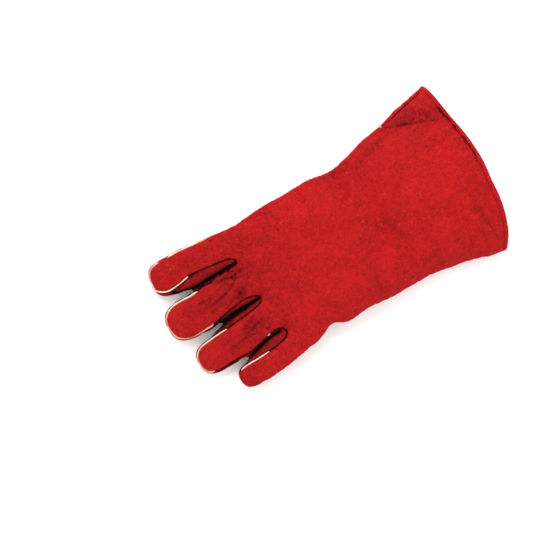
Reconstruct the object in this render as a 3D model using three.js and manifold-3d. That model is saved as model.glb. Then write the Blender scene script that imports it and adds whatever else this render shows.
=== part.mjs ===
// Light duty glove: a left-hand gauntlet of red split leather, lying palm down with the thumb folded beneath.
// Millimetres, +Z up. Fingers point to -X, the cuff opens to +X, the index side is +Y and the back of the
// hand is up. The origin is on the floor, under the middle of the glove's box.

import * as THREE from "three";
import Module from "manifold-3d";

const wasm = await Module();
wasm.setup();

// Driving dimensions
const LEATHER = 2.2;
const SEAM_GAP = 0.3;
const WELT_THICKNESS = 1.6;
const WELT_PROUD = 1.5;
const HEM_WIDTH = 7;
const HEM_PROUD = 0.9;
const FOURCHETTE_HALF = 6;
const FINGER_REST = 11;
const THUMB_TOP = 15;
const PALM_CLEARANCE = 2.5;
const THUMB_SPLIT = 7.5;
const WRIST_SEAM = 26;
const FINGER_BASE = -77;

const HAND_SIDES = 26;
const FINGER_SIDES = 10;
const THUMB_SIDES = 12;

// Where a rounded tip has its sections, as angles from where the rounding starts, how round it is in plan,
// and how much of its thickness follows that
const TIP_ANGLES = [38, 72];
const TIP_ROUNDNESS = 0.85;
const TIP_THINNING = 0.75;

// Roundness of the sections: 1 is an ellipse, and smaller is squarer
const HAND_FLANK = 0.8;
const HAND_CROWN = 0.85;
const TUBE_FLANK = 0.72;
const TUBE_CROWN = 0.8;

// Heights of the middle of the glove, between its two leathers, along the index side
const SPINE = [
  { x: -180, height: 11 },
  { x: -160, height: 11 },
  { x: -135, height: 12 },
  { x: -110, height: 17.5 },
  { x: -85, height: 25 },
  { x: -60, height: 29.5 },
  { x: -20, height: 30.5 },
  { x: 15, height: 29 },
  { x: 45, height: 22.5 },
  { x: 75, height: 15.5 },
  { x: 110, height: 12 },
  { x: 180, height: 12 },
];

// The little finger's side of the hand hangs lower than the index side, by this share and between these edges
const SIDE_LIFT = { least: 0.5, ulnar: -92, radial: -8 };

// How much of that tilt the crown of the hand follows
const CROWN_TILT = 0.6;

// Hand and cuff: a row for each section. radial and ulnar are the side edges, top and under the heights of
// the crown and of the underside, skew turns the section towards the slanted line of the finger roots, and
// bow bends it towards the curved mouth.
const HAND = [
  { x: -84, radial: 52, ulnar: -80, top: 29, under: 23, skew: 0.15, bow: 0 },
  { x: -79, radial: 55, ulnar: -84.5, top: 36, under: 17.5, skew: 0.15, bow: 0 },
  { x: -67, radial: 57, ulnar: -86, top: 41.5, under: 14, skew: 0.13, bow: 0 },
  { x: -50, radial: 60, ulnar: -81, top: 45, under: 12.5, skew: 0.09, bow: 0 },
  { x: -30, radial: 62, ulnar: -75, top: 46.5, under: 11, skew: 0.03, bow: 0 },
  { x: -12, radial: 62.5, ulnar: -79, top: 47.5, under: 10, skew: 0, bow: 0 },
  { x: 14, radial: 64.5, ulnar: -77.5, top: 47, under: 7, skew: 0, bow: 0 },
  { x: 40, radial: 62.8, ulnar: -78.8, top: 44.5, under: 2, skew: 0, bow: 0 },
  { x: 58, radial: 67.5, ulnar: -77.6, top: 42.5, under: -1, skew: 0, bow: 1 },
  { x: 78, radial: 74.5, ulnar: -76.4, top: 41.5, under: -4, skew: 0, bow: 3.5 },
  { x: 102, radial: 80, ulnar: -79, top: 41.5, under: -8, skew: 0, bow: 7 },
  { x: 126, radial: 87.5, ulnar: -82, top: 42.5, under: -8, skew: 0, bow: 11 },
  { x: 146, radial: 93, ulnar: -87, top: 43.5, under: -8, skew: 0, bow: 14 },
  { x: 160.5, radial: 96.8, ulnar: -88.4, top: 44, under: -8, skew: 0, bow: 17 },
];

// Fingers: a row for each section from the root to where the rounded tip starts, and the tip's own reach
const FINGERS = {
  index: {
    tip: { x: -173.2, y: 42 },
    rows: [
      { x: -40, y: 40, width: 32, thick: 20 },
      { x: -80, y: 40.3, width: 34, thick: 25 },
      { x: -100, y: 40.9, width: 34.5, thick: 25 },
      { x: -120, y: 41.3, width: 36.5, thick: 23 },
      { x: -138, y: 41.6, width: 38, thick: 22 },
      { x: -153, y: 41.8, width: 36, thick: 21 },
    ],
  },
  middle: {
    tip: { x: -177.5, y: -4.4 },
    rows: [
      { x: -40, y: 4, width: 30, thick: 20 },
      { x: -80, y: 4.5, width: 33, thick: 25 },
      { x: -100, y: 4.5, width: 33, thick: 25 },
      { x: -120, y: 1, width: 35.5, thick: 23 },
      { x: -140, y: -2.7, width: 37.5, thick: 22 },
      { x: -157, y: -3.8, width: 38, thick: 21 },
    ],
  },
  ring: {
    tip: { x: -165.9, y: -50 },
    rows: [
      { x: -38, y: -36, width: 28, thick: 18 },
      { x: -76, y: -37.5, width: 31, thick: 24 },
      { x: -87, y: -39, width: 32, thick: 24 },
      { x: -99, y: -41.5, width: 33, thick: 24 },
      { x: -115, y: -46, width: 34, thick: 22 },
      { x: -132, y: -48.5, width: 32.5, thick: 21 },
      { x: -149, y: -49.3, width: 30.5, thick: 20 },
    ],
  },
  little: {
    tip: { x: -136.6, y: -85 },
    rows: [
      { x: -35, y: -66, width: 20, thick: 15 },
      { x: -68, y: -74.5, width: 25, thick: 21 },
      { x: -84, y: -77.5, width: 26.5, thick: 21 },
      { x: -100, y: -80, width: 25.5, thick: 20 },
      { x: -114, y: -83, width: 24.5, thick: 19 },
      { x: -123, y: -84.3, width: 23, thick: 18 },
    ],
  },
};

// Thumb: its middle line leaves the hand on the index side, folds down and under, and crosses the palm.
// turn is the direction of its width, in degrees from +X.
const THUMB = {
  tip: { x: -64, y: -49, z: 7.2 },
  rows: [
    { x: -10, y: 38, z: 30, width: 56, thick: 9, turn: 0 },
    { x: -11, y: 49, z: 27.5, width: 64, thick: 11, turn: 0 },
    { x: -12, y: 55.5, z: 18.5, width: 70, thick: 12.5, turn: -1 },
    { x: -13.5, y: 51, z: 10, width: 71, thick: 14, turn: -4 },
    { x: -20, y: 38, z: 7.6, width: 67, thick: 15, turn: -12 },
    { x: -31, y: 17, z: 7.6, width: 61, thick: 15, turn: -22 },
    { x: -44, y: -9, z: 7.5, width: 56, thick: 15, turn: -26 },
    { x: -55, y: -31, z: 7.4, width: 51, thick: 14.5, turn: -26 },
  ],
};

// The thumb's outline from above, as a tapered bar with round ends, under which the palm is lifted
const THUMB_BAR = {
  from: new THREE.Vector2(-13, 62),
  to: new THREE.Vector2(-53, -26),
  startRadius: 37,
  endRadius: 28,
  margin: 2.5,
  slope: 30,
};

// The thumb's wall is cut from the palm's inside this margin of its outline, and this high over its top
const THUMB_CUT = { margin: 1.5, top: 15.5 };

// Dents of the back: soft valleys, with the direction of their length in degrees from +X
const DENTS = [
  { x: -112, y: 12, length: 13, width: 3.5, depth: 1.6, turn: -28 },
  { x: -110, y: 3, length: 14, width: 4, depth: 1.4, turn: 12 },
  { x: -103, y: -8, length: 9, width: 3, depth: 1.8, turn: 50 },
  { x: -108, y: -46, length: 10, width: 4, depth: 1.2, turn: 25 },
  { x: 134, y: 62, length: 42, width: 7, depth: 3.4, turn: -16 },
  { x: 45, y: 48, length: 26, width: 12, depth: 2.4, turn: 60 },
  { x: -20, y: -66, length: 24, width: 8, depth: 2.2, turn: 70 },
];

// Where the fourchettes start to part the leathers: behind each fingertip, and in from the glove's sides
const SPREAD = {
  littleTip: -132,
  otherTips: -166,
  tipReach: 26,
  littleEnd: { from: -75, to: -66 },
  ulnarSide: { from: -86, to: -76 },
  radialSide: { from: 32, to: 44 },
  roots: { from: -66, to: -50 },
};

// Outlines in plan that part the leather, as corners of x and y
const FOURCHETTE_OUTLINES = {
  fourchette_index_middle: [[-156, 40], [-68, 40], [-68, 3], [-156, -3]],
  fourchette_middle_ring: [[-154, -3], [-66, 3], [-60, -38], [-154, -48]],
  fourchette_ring_little: [
    [-150, -48], [-60, -38], [-56, -78], [-120, -83], [-120, -68.5], [-150, -68.5],
  ],
};
const FINGER_FRONT_OUTLINES = {
  middle_front: [
    [-200, 19], [-140, 19.5], [-100, 22.5], [-60, 26], [-60, -19], [-100, -19], [-150, -28], [-200, -34],
  ],
  ring_front: [
    [-200, -34], [-150, -28], [-100, -19], [-60, -19], [-60, -60], [-92, -61], [-120, -69], [-200, -72],
  ],
};

// The back is one piece of leather. Its solid is parted here, a seam's gap apart, into simple ones that leave
// the hollows of the cuff, the hand and each finger open. Corners run anticlockwise.
const BACK_OUTLINES = {
  back_panel: [[-72, -210], [26, -210], [26, 210], [-72, 210]],
  back_cuff: [[26, -210], [210, -210], [210, 210], [26, 210]],
  back_index: [[-210, 22.2], [-72, 22.2], [-72, 210], [-210, 210]],
  back_middle: [[-210, -32.1], [-72, -19.5], [-72, 22.2], [-210, 22.2]],
  back_ring: [[-210, -89.9], [-72, -59.5], [-72, -19.5], [-210, -32.1]],
  back_little: [[-210, -210], [-72, -210], [-72, -59.5], [-210, -89.9]],
};
const WELT_OUTLINES = {
  welt_index: [[-190, 75], [-98, 75], [-98, 45], [-136, 40], [-136, 19.3], [-190, 19.3]],
  welt_middle: [[-190, 19], [-136, 19], [-136, -26], [-190, -30]],
  welt_ring: [
    [-190, -31], [-160, -30.5], [-128, -27.5], [-128, -46], [-148, -50], [-148, -69], [-190, -72],
  ],
  welt_little: [[-131, -70], [-100, -63.5], [-100, -80], [-131, -82]],
  welt_cuff_side: [[98, 60], [98, 115], [150, 115], [150, 60]],
  welt_thumb: [[-66, -5], [-100, -20], [-100, -80], [-20, -80], [-20, -36], [-48, -30]],
};
const FINGER_BASE_SIDES = { high: 24, low: -62 };

// The reach of cutting solids beyond the glove, and of the hollow's form beyond the mouth
const FAR = 210;
const FLOOR_BELOW = -20;
const ROOF = 80;
const MOUTH_REACH = 8;

// Steps round the mouth's curve and round the thumb's ends, and how far a strip keeps within its outline
const MOUTH_PARTS = [1.5, 1.2, 1, 0.8, 0.6, 0.4, 0.2, 0, -0.2, -0.4, -0.6, -0.8, -1, -1.2, -1.5];
const THUMB_END_STEPS = [0, 0.15, 0.3, 0.5, 0.7, 0.85, 1];
const STRIP_SHRINK = 0.985;
const HALF_GAP = SEAM_GAP / 2;

// Corners of prisms closer than this many decimals of a millimetre are one
const CORNER_DECIMALS = 4;

// The lines of the grid over which the seams' heights are drawn
const SEAM_GRID = {
  x: [-210, -180, -166, -153, -140, -125, -110, -85, -75, -66, -50, -20, 15, 45, 75, 110, 210],
  y: [-130, -92, -84, -76, -71, -66, -42, -22, -8, 34, 44, 130],
};

const LEATHER_COLOUR = 0xb81f22;
const WELT_COLOUR = 0xe9dcc4;

const clamp = THREE.MathUtils.clamp;
const lerp = THREE.MathUtils.lerp;
const smoothstep = THREE.MathUtils.smoothstep;
const radians = THREE.MathUtils.degToRad;

// Solids

// A solid from its faces, turned so that they point out
function solidFrom(vertices, triangles) {
  const build = (faces) =>
    new wasm.Manifold(
      new wasm.Mesh({
        numProp: 3,
        vertProperties: new Float32Array(vertices),
        triVerts: new Uint32Array(faces),
      }),
    );
  const solid = build(triangles);
  return solid.volume() > 0 ? solid : build(triangles.toReversed());
}

function meshFrom(solid, name, colour) {
  const found = solid.getMesh();
  const geometry = new THREE.BufferGeometry();
  geometry.setAttribute("position", new THREE.BufferAttribute(Float32Array.from(found.vertProperties), 3));
  geometry.setIndex(new THREE.BufferAttribute(Uint32Array.from(found.triVerts), 1));
  const material = new THREE.MeshStandardMaterial({ color: colour, roughness: 0.9, metalness: 0 });
  const mesh = new THREE.Mesh(geometry, material);
  mesh.name = name;
  return mesh;
}

// A closed skin over rings of equal count, with a fan over each end ring
function loft(rings) {
  const count = rings[0].length;
  const vertices = rings.flat().flatMap((point) => point.toArray());
  const triangles = [];
  for (let ring = 0; ring + 1 < rings.length; ring += 1) {
    for (let side = 0; side < count; side += 1) {
      const a = ring * count + side;
      const b = ring * count + ((side + 1) % count);
      triangles.push(a, b, b + count, a, b + count, a + count);
    }
  }
  for (const last of [false, true]) {
    const ring = last ? rings.at(-1) : rings[0];
    const start = last ? (rings.length - 1) * count : 0;
    const middle = ring.reduce((sum, point) => sum.add(point), new THREE.Vector3());
    const centre = vertices.length / 3;
    vertices.push(...middle.divideScalar(count).toArray());
    for (let side = 0; side < count; side += 1) {
      const a = start + side;
      const b = start + ((side + 1) % count);
      triangles.push(...(last ? [centre, a, b] : [centre, b, a]));
    }
  }
  return solidFrom(vertices, triangles);
}

// A prism that stands on an outline in plan
function prism(outline, low, high) {
  const shape = new THREE.Shape(outline.map(([x, y]) => new THREE.Vector2(x, y)));
  const geometry = new THREE.ExtrudeGeometry(shape, { depth: high - low, bevelEnabled: false });
  const position = geometry.attributes.position;
  const seen = new Map();
  const vertices = [];
  const triangles = [];
  for (let index = 0; index < position.count; index += 1) {
    const point = [position.getX(index), position.getY(index), position.getZ(index) + low];
    const key = point.map((value) => value.toFixed(CORNER_DECIMALS)).join(" ");
    if (!seen.has(key)) {
      seen.set(key, vertices.length / 3);
      vertices.push(...point);
    }
    triangles.push(seen.get(key));
  }
  return solidFrom(vertices, triangles);
}

// The space between two height functions, over a grid in plan
function slab(lowHeight, highHeight, grid = SEAM_GRID) {
  const rings = grid.x.map((x) => [
    ...grid.y.map((y) => new THREE.Vector3(x, y, highHeight(x, y))),
    ...grid.y.toReversed().map((y) => new THREE.Vector3(x, y, lowHeight(x, y))),
  ]);
  return loftSheet(rings);
}

// As loft, for rings that go out along one sheet and back along another. Both sheets are cut into triangles
// along the same diagonals, so that slabs on either side of one surface fit it alike.
function loftSheet(rings) {
  const count = rings[0].length;
  const vertices = rings.flat().flatMap((point) => point.toArray());
  const triangles = [];
  for (let ring = 0; ring + 1 < rings.length; ring += 1) {
    for (let side = 0; side < count; side += 1) {
      const a = ring * count + side;
      const b = ring * count + ((side + 1) % count);
      const goingBack = side >= count / 2;
      if (goingBack) triangles.push(a, a + count, b, b, a + count, b + count);
      else triangles.push(a, b + count, b, a, a + count, b + count);
    }
  }
  for (const last of [false, true]) {
    const start = last ? (rings.length - 1) * count : 0;
    for (let side = 0; side + 1 < count / 2; side += 1) {
      const a = start + side;
      const b = start + side + 1;
      const c = start + count - 2 - side;
      const d = start + count - 1 - side;
      triangles.push(...(last ? [a, d, c, a, c, b] : [a, c, d, a, b, c]));
    }
  }
  return solidFrom(vertices, triangles);
}

// Tables

// The value of a column at x, on straight lines between the rows
function along(rows, column, x) {
  const next = rows.findIndex((row) => row.x >= x);
  if (next === -1) return rows.at(-1)[column];
  if (next === 0) return rows[0][column];
  const [a, b] = [rows[next - 1], rows[next]];
  return lerp(a[column], b[column], (x - a.x) / (b.x - a.x));
}

// Heights

function sideLift(y) {
  return lerp(SIDE_LIFT.least, 1, smoothstep(y, SIDE_LIFT.ulnar, SIDE_LIFT.radial));
}

function middleHeight(x, y) {
  return FINGER_REST + (along(SPINE, "height", x) - FINGER_REST) * sideLift(y);
}

// What the palm lies on: the floor, and the thumb under it
function ground(x, y) {
  const point = new THREE.Vector2(x, y);
  const axis = THUMB_BAR.to.clone().sub(THUMB_BAR.from);
  const part = clamp(point.clone().sub(THUMB_BAR.from).dot(axis) / axis.lengthSq(), 0, 1);
  const nearest = THUMB_BAR.from.clone().addScaledVector(axis, part);
  const radius = lerp(THUMB_BAR.startRadius, THUMB_BAR.endRadius, part);
  const away = point.distanceTo(nearest) - radius;
  const lift = 1 - smoothstep(away, THUMB_BAR.margin, THUMB_BAR.margin + THUMB_BAR.slope);
  return (THUMB_TOP + PALM_CLEARANCE) * lift;
}

function dentDepth(x, y) {
  let depth = 0;
  for (const dent of DENTS) {
    const turn = radians(dent.turn);
    const alongDent = (x - dent.x) * Math.cos(turn) + (y - dent.y) * Math.sin(turn);
    const across = (y - dent.y) * Math.cos(turn) - (x - dent.x) * Math.sin(turn);
    depth += dent.depth * Math.exp(-((alongDent / dent.length) ** 2) - (across / dent.width) ** 2);
  }
  return depth;
}

function power(value, exponent) {
  return Math.sign(value) * Math.abs(value) ** exponent;
}

// Hand and cuff. grow moves the surface out from the leather's outer face, or in where it is negative.

function handRing(row, grow, shiftX = 0) {
  const middle = (row.radial + row.ulnar) / 2;
  const reach = (row.radial - row.ulnar) / 2;
  const ring = [];
  for (let side = 0; side < HAND_SIDES; side += 1) {
    const angle = (side / HAND_SIDES) * 2 * Math.PI;
    const across = power(Math.cos(angle), HAND_FLANK);
    const y = middle + (reach + grow) * across;
    const x = row.x + shiftX - row.skew * y + row.bow * (1 - across * across);
    const edge = middleHeight(x, y);
    const tilt = edge - middleHeight(x, 0);
    const rise = power(Math.sin(angle), HAND_CROWN);
    let z = edge + rise * (edge - row.under - tilt + grow);
    if (rise > 0) z = edge + rise * (row.top + CROWN_TILT * tilt - edge + grow) - dentDepth(x, y) * rise;
    ring.push(new THREE.Vector3(x, y, Math.max(z, ground(x, y) - Math.min(grow, 0))));
  }
  return ring;
}

function handSolid(grow, mouthReach) {
  const rows = HAND.map((row) => handRing(row, grow));
  rows[0] = handRing(HAND[0], grow, -grow);
  if (mouthReach > 0) rows.push(handRing(HAND.at(-1), grow, mouthReach));
  return loft(rows);
}

// Rows from a table, with rounded rows added up to the tip
function withTip({ rows, tip }) {
  const last = rows.at(-1);
  const rounded = [];
  for (const degrees of TIP_ANGLES) {
    const part = Math.sin(radians(degrees));
    const size = Math.cos(radians(degrees)) ** TIP_ROUNDNESS;
    const row = { ...last, width: last.width * size, thick: last.thick * lerp(1, size, TIP_THINNING) };
    for (const key of ["x", "y", "z"]) {
      if (key in last) row[key] = lerp(last[key], tip[key], part);
    }
    rounded.push(row);
  }
  return [...rows, ...rounded];
}

// A tube's ring about a centre, from the direction of its width and of its thickness
function tubeRing(centre, widthAxis, thickAxis, row, grow, sides) {
  const ring = [];
  for (let side = 0; side < sides; side += 1) {
    const angle = (side / sides) * 2 * Math.PI;
    const across = (row.width / 2 + grow) * power(Math.cos(angle), TUBE_FLANK);
    const rise = (row.thick / 2 + grow) * power(Math.sin(angle), TUBE_CROWN);
    const point = centre.clone().addScaledVector(widthAxis, across).addScaledVector(thickAxis, rise);
    ring.push(point);
  }
  return ring;
}

function fingerSolid(finger, grow) {
  const rows = withTip(finger);
  const rings = rows.map((row, index) => {
    const before = rows[Math.max(index - 1, 0)];
    const after = rows[Math.min(index + 1, rows.length - 1)];
    const heading = Math.atan2(after.y - before.y, after.x - before.x);
    const height = Math.max(middleHeight(row.x, row.y), row.thick / 2);
    const shift = index > finger.rows.length ? grow : 0;
    const centre = new THREE.Vector3(row.x - shift, row.y, height);
    const widthAxis = new THREE.Vector3(Math.sin(heading), -Math.cos(heading), 0);
    const ring = tubeRing(centre, widthAxis, new THREE.Vector3(0, 0, 1), row, grow, FINGER_SIDES);
    for (const point of ring) {
      if (point.z > height) point.z -= dentDepth(point.x, point.y);
      point.z = Math.max(point.z, ground(point.x, point.y) - Math.min(grow, 0));
    }
    return ring;
  });
  return loft(rings);
}

function thumbSolid(grow) {
  const rows = withTip(THUMB);
  const points = rows.map((row) => new THREE.Vector3(row.x, row.y, row.z));
  const rings = rows.map((row, index) => {
    const before = points[Math.max(index - 1, 0)];
    const after = points[Math.min(index + 1, rows.length - 1)];
    const forward = after.clone().sub(before).normalize();
    const turn = radians(row.turn);
    const widthAxis = new THREE.Vector3(Math.cos(turn), Math.sin(turn), 0);
    const thickAxis = new THREE.Vector3().crossVectors(widthAxis, forward).normalize();
    const shift = index > THUMB.rows.length ? grow : 0;
    const centre = points[index].clone().addScaledVector(forward, shift);
    const ring = tubeRing(centre, widthAxis, thickAxis, row, grow, THUMB_SIDES);
    for (const point of ring) point.z = Math.max(point.z, -Math.min(grow, 0));
    return ring;
  });
  return loft(rings);
}

function skin(grow, mouthReach) {
  let whole = handSolid(grow, mouthReach);
  for (const finger of Object.values(FINGERS)) whole = whole.add(fingerSolid(finger, grow));
  return whole;
}

// Seams

function rising(value, { from, to }) {
  return smoothstep(value, from, to);
}

// How far the fourchettes hold the two leathers apart at a place: nothing outside the fingers
function spread(x, y) {
  const tipLine = lerp(SPREAD.littleTip, SPREAD.otherTips, rising(y, SPREAD.littleEnd));
  const fromTips = smoothstep(x, tipLine, tipLine + SPREAD.tipReach);
  const fromSides = rising(y, SPREAD.ulnarSide) * (1 - rising(y, SPREAD.radialSide));
  return FOURCHETTE_HALF * fromTips * fromSides * (1 - rising(x, SPREAD.roots));
}

const upperSeam = (x, y) => middleHeight(x, y) + spread(x, y);
const lowerSeam = (x, y) => middleHeight(x, y) - spread(x, y);
const thumbSeam = () => THUMB_SPLIT;

const space = (outline) => prism(outline, FLOOR_BELOW, ROOF);
const above = (height, lift) => slab((x, y) => height(x, y) + lift, () => ROOF);
const below = (height, drop) => slab(() => FLOOR_BELOW, (x, y) => height(x, y) - drop);
const about = (height, half) => slab((x, y) => height(x, y) - half, (x, y) => height(x, y) + half);

function between(lowHeight, highHeight, gap) {
  return slab((x, y) => lowHeight(x, y) + gap, (x, y) => highHeight(x, y) - gap);
}

// Outlines in plan

// Everything up to the curved line that lies a distance in from the mouth
function upToMouth(distance) {
  const mouth = HAND.at(-1);
  const middle = (mouth.radial + mouth.ulnar) / 2;
  const reach = (mouth.radial - mouth.ulnar) / 2;
  const outline = [[-FAR, -FAR], [-FAR, FAR]];
  for (const part of MOUTH_PARTS) {
    outline.push([mouth.x + mouth.bow * (1 - part * part) - distance, middle + reach * part]);
  }
  return space(outline);
}

// The outline of the thumb's bar, grown by a margin
function thumbOutline(margin) {
  const axis = THUMB_BAR.to.clone().sub(THUMB_BAR.from);
  const heading = axis.angle();
  const ends = [
    { centre: THUMB_BAR.to, radius: THUMB_BAR.endRadius + margin, start: heading - Math.PI / 2 },
    { centre: THUMB_BAR.from, radius: THUMB_BAR.startRadius + margin, start: heading + Math.PI / 2 },
  ];
  return ends.flatMap(({ centre, radius, start }) =>
    THUMB_END_STEPS.map((part) => {
      const angle = start + part * Math.PI;
      return [centre.x + radius * Math.cos(angle), centre.y + radius * Math.sin(angle)];
    }),
  );
}

// The outline about its middle, a little smaller, so that a strip's ends keep clear of the leather
function shrunk(outline) {
  const x = outline.reduce((sum, point) => sum + point[0], 0) / outline.length;
  const y = outline.reduce((sum, point) => sum + point[1], 0) / outline.length;
  return outline.map((point) => [lerp(x, point[0], STRIP_SHRINK), lerp(y, point[1], STRIP_SHRINK)]);
}

// A convex outline with each side moved in by half a gap. Its corners run anticlockwise.
function insetOutline(outline) {
  const inward = outline.map((corner, index) => {
    const next = outline[(index + 1) % outline.length];
    return new THREE.Vector2(corner[1] - next[1], next[0] - corner[0]).normalize();
  });
  return outline.map((corner, index) => {
    const before = inward.at(index - 1);
    const after = inward[index];
    const reach = HALF_GAP / (1 + before.dot(after));
    return [corner[0] + (before.x + after.x) * reach, corner[1] + (before.y + after.y) * reach];
  });
}

// The glove's walls

const hollow = skin(-LEATHER, MOUTH_REACH);
const walls = skin(0, 0).add(thumbSolid(0)).subtract(hollow.add(thumbSolid(-LEATHER)));
const proud = skin(WELT_PROUD, 0).subtract(hollow);
const proudThumb = thumbSolid(WELT_PROUD).subtract(thumbSolid(-LEATHER));

// Welt strips, each with the room that the leather leaves it
function strip(source, height, outline) {
  return {
    solid: source.intersect(about(height, WELT_THICKNESS / 2)).intersect(space(shrunk(outline))),
    room: about(height, WELT_THICKNESS / 2 + SEAM_GAP).intersect(space(outline)),
  };
}

// A strip in an upright seam across the palm side
function crossStrip(x, high, low) {
  const outline = (half) => [[x - half, high], [x + half, high], [x + half, low], [x - half, low]];
  const palmSide = below(lowerSeam, SEAM_GAP);
  return {
    solid: proud.intersect(space(outline(WELT_THICKNESS / 2))).intersect(palmSide),
    room: space(outline(WELT_THICKNESS / 2 + SEAM_GAP)).intersect(below(lowerSeam, 0)),
  };
}

const welts = {};
for (const [name, outline] of Object.entries(WELT_OUTLINES)) {
  const onThumb = name === "welt_thumb";
  welts[name] = strip(onThumb ? proudThumb : proud, onThumb ? thumbSeam : upperSeam, outline);
}
welts.welt_finger_base = crossStrip(FINGER_BASE, FINGER_BASE_SIDES.high, FINGER_BASE_SIDES.low);
welts.welt_wrist = crossStrip(WRIST_SEAM, FAR, -FAR);

const thumbCut = (gap) => prism(thumbOutline(THUMB_CUT.margin), FLOOR_BELOW, THUMB_CUT.top + gap);
const thumb = walls.intersect(thumbCut(0)).subtract(welts.welt_thumb.room);
let rest = walls.subtract(thumbCut(SEAM_GAP));
for (const [name, welt] of Object.entries(welts)) {
  if (name !== "welt_thumb") rest = rest.subtract(welt.room);
}
const inCuff = rest.intersect(upToMouth(HEM_WIDTH + SEAM_GAP));

const back = inCuff.intersect(above(upperSeam, HALF_GAP));
const parts = {
  thumb_front: thumb.intersect(above(thumbSeam, HALF_GAP)),
  thumb_back: thumb.intersect(below(thumbSeam, HALF_GAP)),
};
for (const [name, outline] of Object.entries(BACK_OUTLINES)) {
  parts[name] = back.intersect(space(insetOutline(outline)));
}
const palmSide = inCuff.intersect(below(lowerSeam, HALF_GAP));
const upTo = (x) => space([[-FAR, -FAR], [x, -FAR], [x, FAR], [-FAR, FAR]]);
let palmAndCuff = palmSide;
for (const [name, outline] of Object.entries(FINGER_FRONT_OUTLINES)) {
  parts[name] = palmSide.intersect(space(shrunk(outline))).intersect(upTo(FINGER_BASE));
  palmAndCuff = palmAndCuff.subtract(space(outline).intersect(upTo(FINGER_BASE)));
}
parts.palm_panel = palmAndCuff.intersect(upTo(WRIST_SEAM));
parts.cuff_palm = palmAndCuff.subtract(upTo(WRIST_SEAM));
for (const [name, outline] of Object.entries(FOURCHETTE_OUTLINES)) {
  parts[name] = rest.intersect(between(lowerSeam, upperSeam, HALF_GAP)).intersect(space(outline));
}
parts.cuff_hem = skin(HEM_PROUD, 0).subtract(hollow).subtract(upToMouth(HEM_WIDTH));
for (const [name, welt] of Object.entries(welts)) parts[name] = welt.solid;

const glove = new THREE.Group();
for (const [name, part] of Object.entries(parts)) {
  const bodies = part.decompose().sort((a, b) => b.volume() - a.volume());
  glove.add(meshFrom(bodies[0], name, name.startsWith("welt") ? WELT_COLOUR : LEATHER_COLOUR));
}

// The origin is under the middle of the box
const box = new THREE.Box3().setFromObject(glove);
const middle = box.getCenter(new THREE.Vector3());
glove.position.set(-middle.x, -middle.y, -box.min.z);

export default glove;
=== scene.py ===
# Light duty glove: the looks of a left-hand gauntlet of red split leather that lies palm down.
# The glove's own tables are in millimetres, in the part's frame, and meshes are made in metres. A spot in a
# table is a row of x, y, half length, half width, depth or strength, turn of the length in degrees from +X.
# A pair of numbers is mostly the range over which something comes in or fades.
import math

import bmesh
import bpy
import numpy as np
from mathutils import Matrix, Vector, noise
from mathutils.kdtree import KDTree


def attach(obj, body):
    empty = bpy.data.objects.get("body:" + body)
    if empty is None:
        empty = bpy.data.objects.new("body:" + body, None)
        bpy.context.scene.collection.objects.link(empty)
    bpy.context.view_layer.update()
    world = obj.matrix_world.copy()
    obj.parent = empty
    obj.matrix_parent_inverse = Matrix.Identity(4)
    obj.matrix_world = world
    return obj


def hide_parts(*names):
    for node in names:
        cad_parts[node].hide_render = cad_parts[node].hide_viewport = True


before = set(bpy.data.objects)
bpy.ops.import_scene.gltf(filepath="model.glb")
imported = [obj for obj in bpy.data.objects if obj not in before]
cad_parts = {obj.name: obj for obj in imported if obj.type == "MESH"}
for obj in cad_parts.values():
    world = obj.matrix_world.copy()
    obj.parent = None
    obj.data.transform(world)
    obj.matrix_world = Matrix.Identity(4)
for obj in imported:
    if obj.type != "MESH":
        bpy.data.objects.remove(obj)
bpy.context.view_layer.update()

MM = 0.001

# The leather: mesh size while it is shaped, rounds of smoothing, and thickness
FINE_VOXEL = 1.5
FINE_ROUNDS = 3
LEATHER = 2.2

# The least height over the floor of the leather and the welts, of the thumb's form, and of a finished face
LOWEST = 0.15
THUMB_LOWEST = 0.2
FLOOR_GAP = 0.1

# Heights and places along X where pieces meet, and how near the thumb's seam lies to its bar
THUMB_TOP = 15
THUMB_SPLIT = 7.5
THUMB_SEAM_REACH = 6
PALM_CLEARANCE = 4.5
WRIST_SEAM = 26
FINGER_BASE = -77

# How high the middle of the fingers rests, and the y over which half of the spine's rise comes in
FINGER_REST = 11
SIDE_RISE = (-92, -8)

# How near a seam's zero line a point counts as on it, and the shortest line that a welt gets
ON_LINE = 0.12
SHORTEST_LINE = 1.2

# Cloth simulation: mesh size, steps, the most that it moves a point, and how many of its points each point of
# the fine mesh follows, with what softening of their distance
SIM_VOXEL = 2.4
SIM_FRAMES = 18
SIM_MOST = 2.6
SIM_NEIGHBOURS = 6
SIM_SOFTENING = 0.3

# Where the leather is loose: away from a seam and above the floor, but not towards the cuff's mouth or where
# it lies low on the thumb
SIM_LOOSE = (0.8, 5)
SIM_HELD_FLOOR = (0.5, 4)
SIM_HELD_CUFF = (140, 155)
SIM_HELD_THUMB = (-6, 4)
SIM_HELD_THUMB_TOP = (22, 26)
SIM_LEATHER = {
    "quality": 5, "mass": 0.3, "tension_stiffness": 12, "compression_stiffness": 6, "shear_stiffness": 5,
    "bending_stiffness": 1.5, "use_pressure": True, "uniform_pressure_force": 2.5, "shrink_min": -0.035,
    "air_damping": 2,
}

# Section of a welt: across the seam, out of it. What lies deeper than its foot stays where it is.
WELT_FOOT = -1.5
WELT_PROFILE = [
    (-0.48, -2.4), (-0.54, -0.3), (-0.49, 0.35), (-0.28, 0.6), (0.0, 0.66), (0.28, 0.6), (0.49, 0.35),
    (0.54, -0.3), (0.48, -2.4),
]

# A welt's step, rounds of smoothing, how deep its ends dive, and its sway and rise: size, seed, depth
WELT_STEP = 0.8
WELT_SMOOTHING = 6
WELT_DIVE = 1.6
WELT_DIVE_OVER = (-0.5, 3.0)
WELT_SWAY = (7, 40, 0.22)
WELT_RISE = (5, 50, 0.3)

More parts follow.
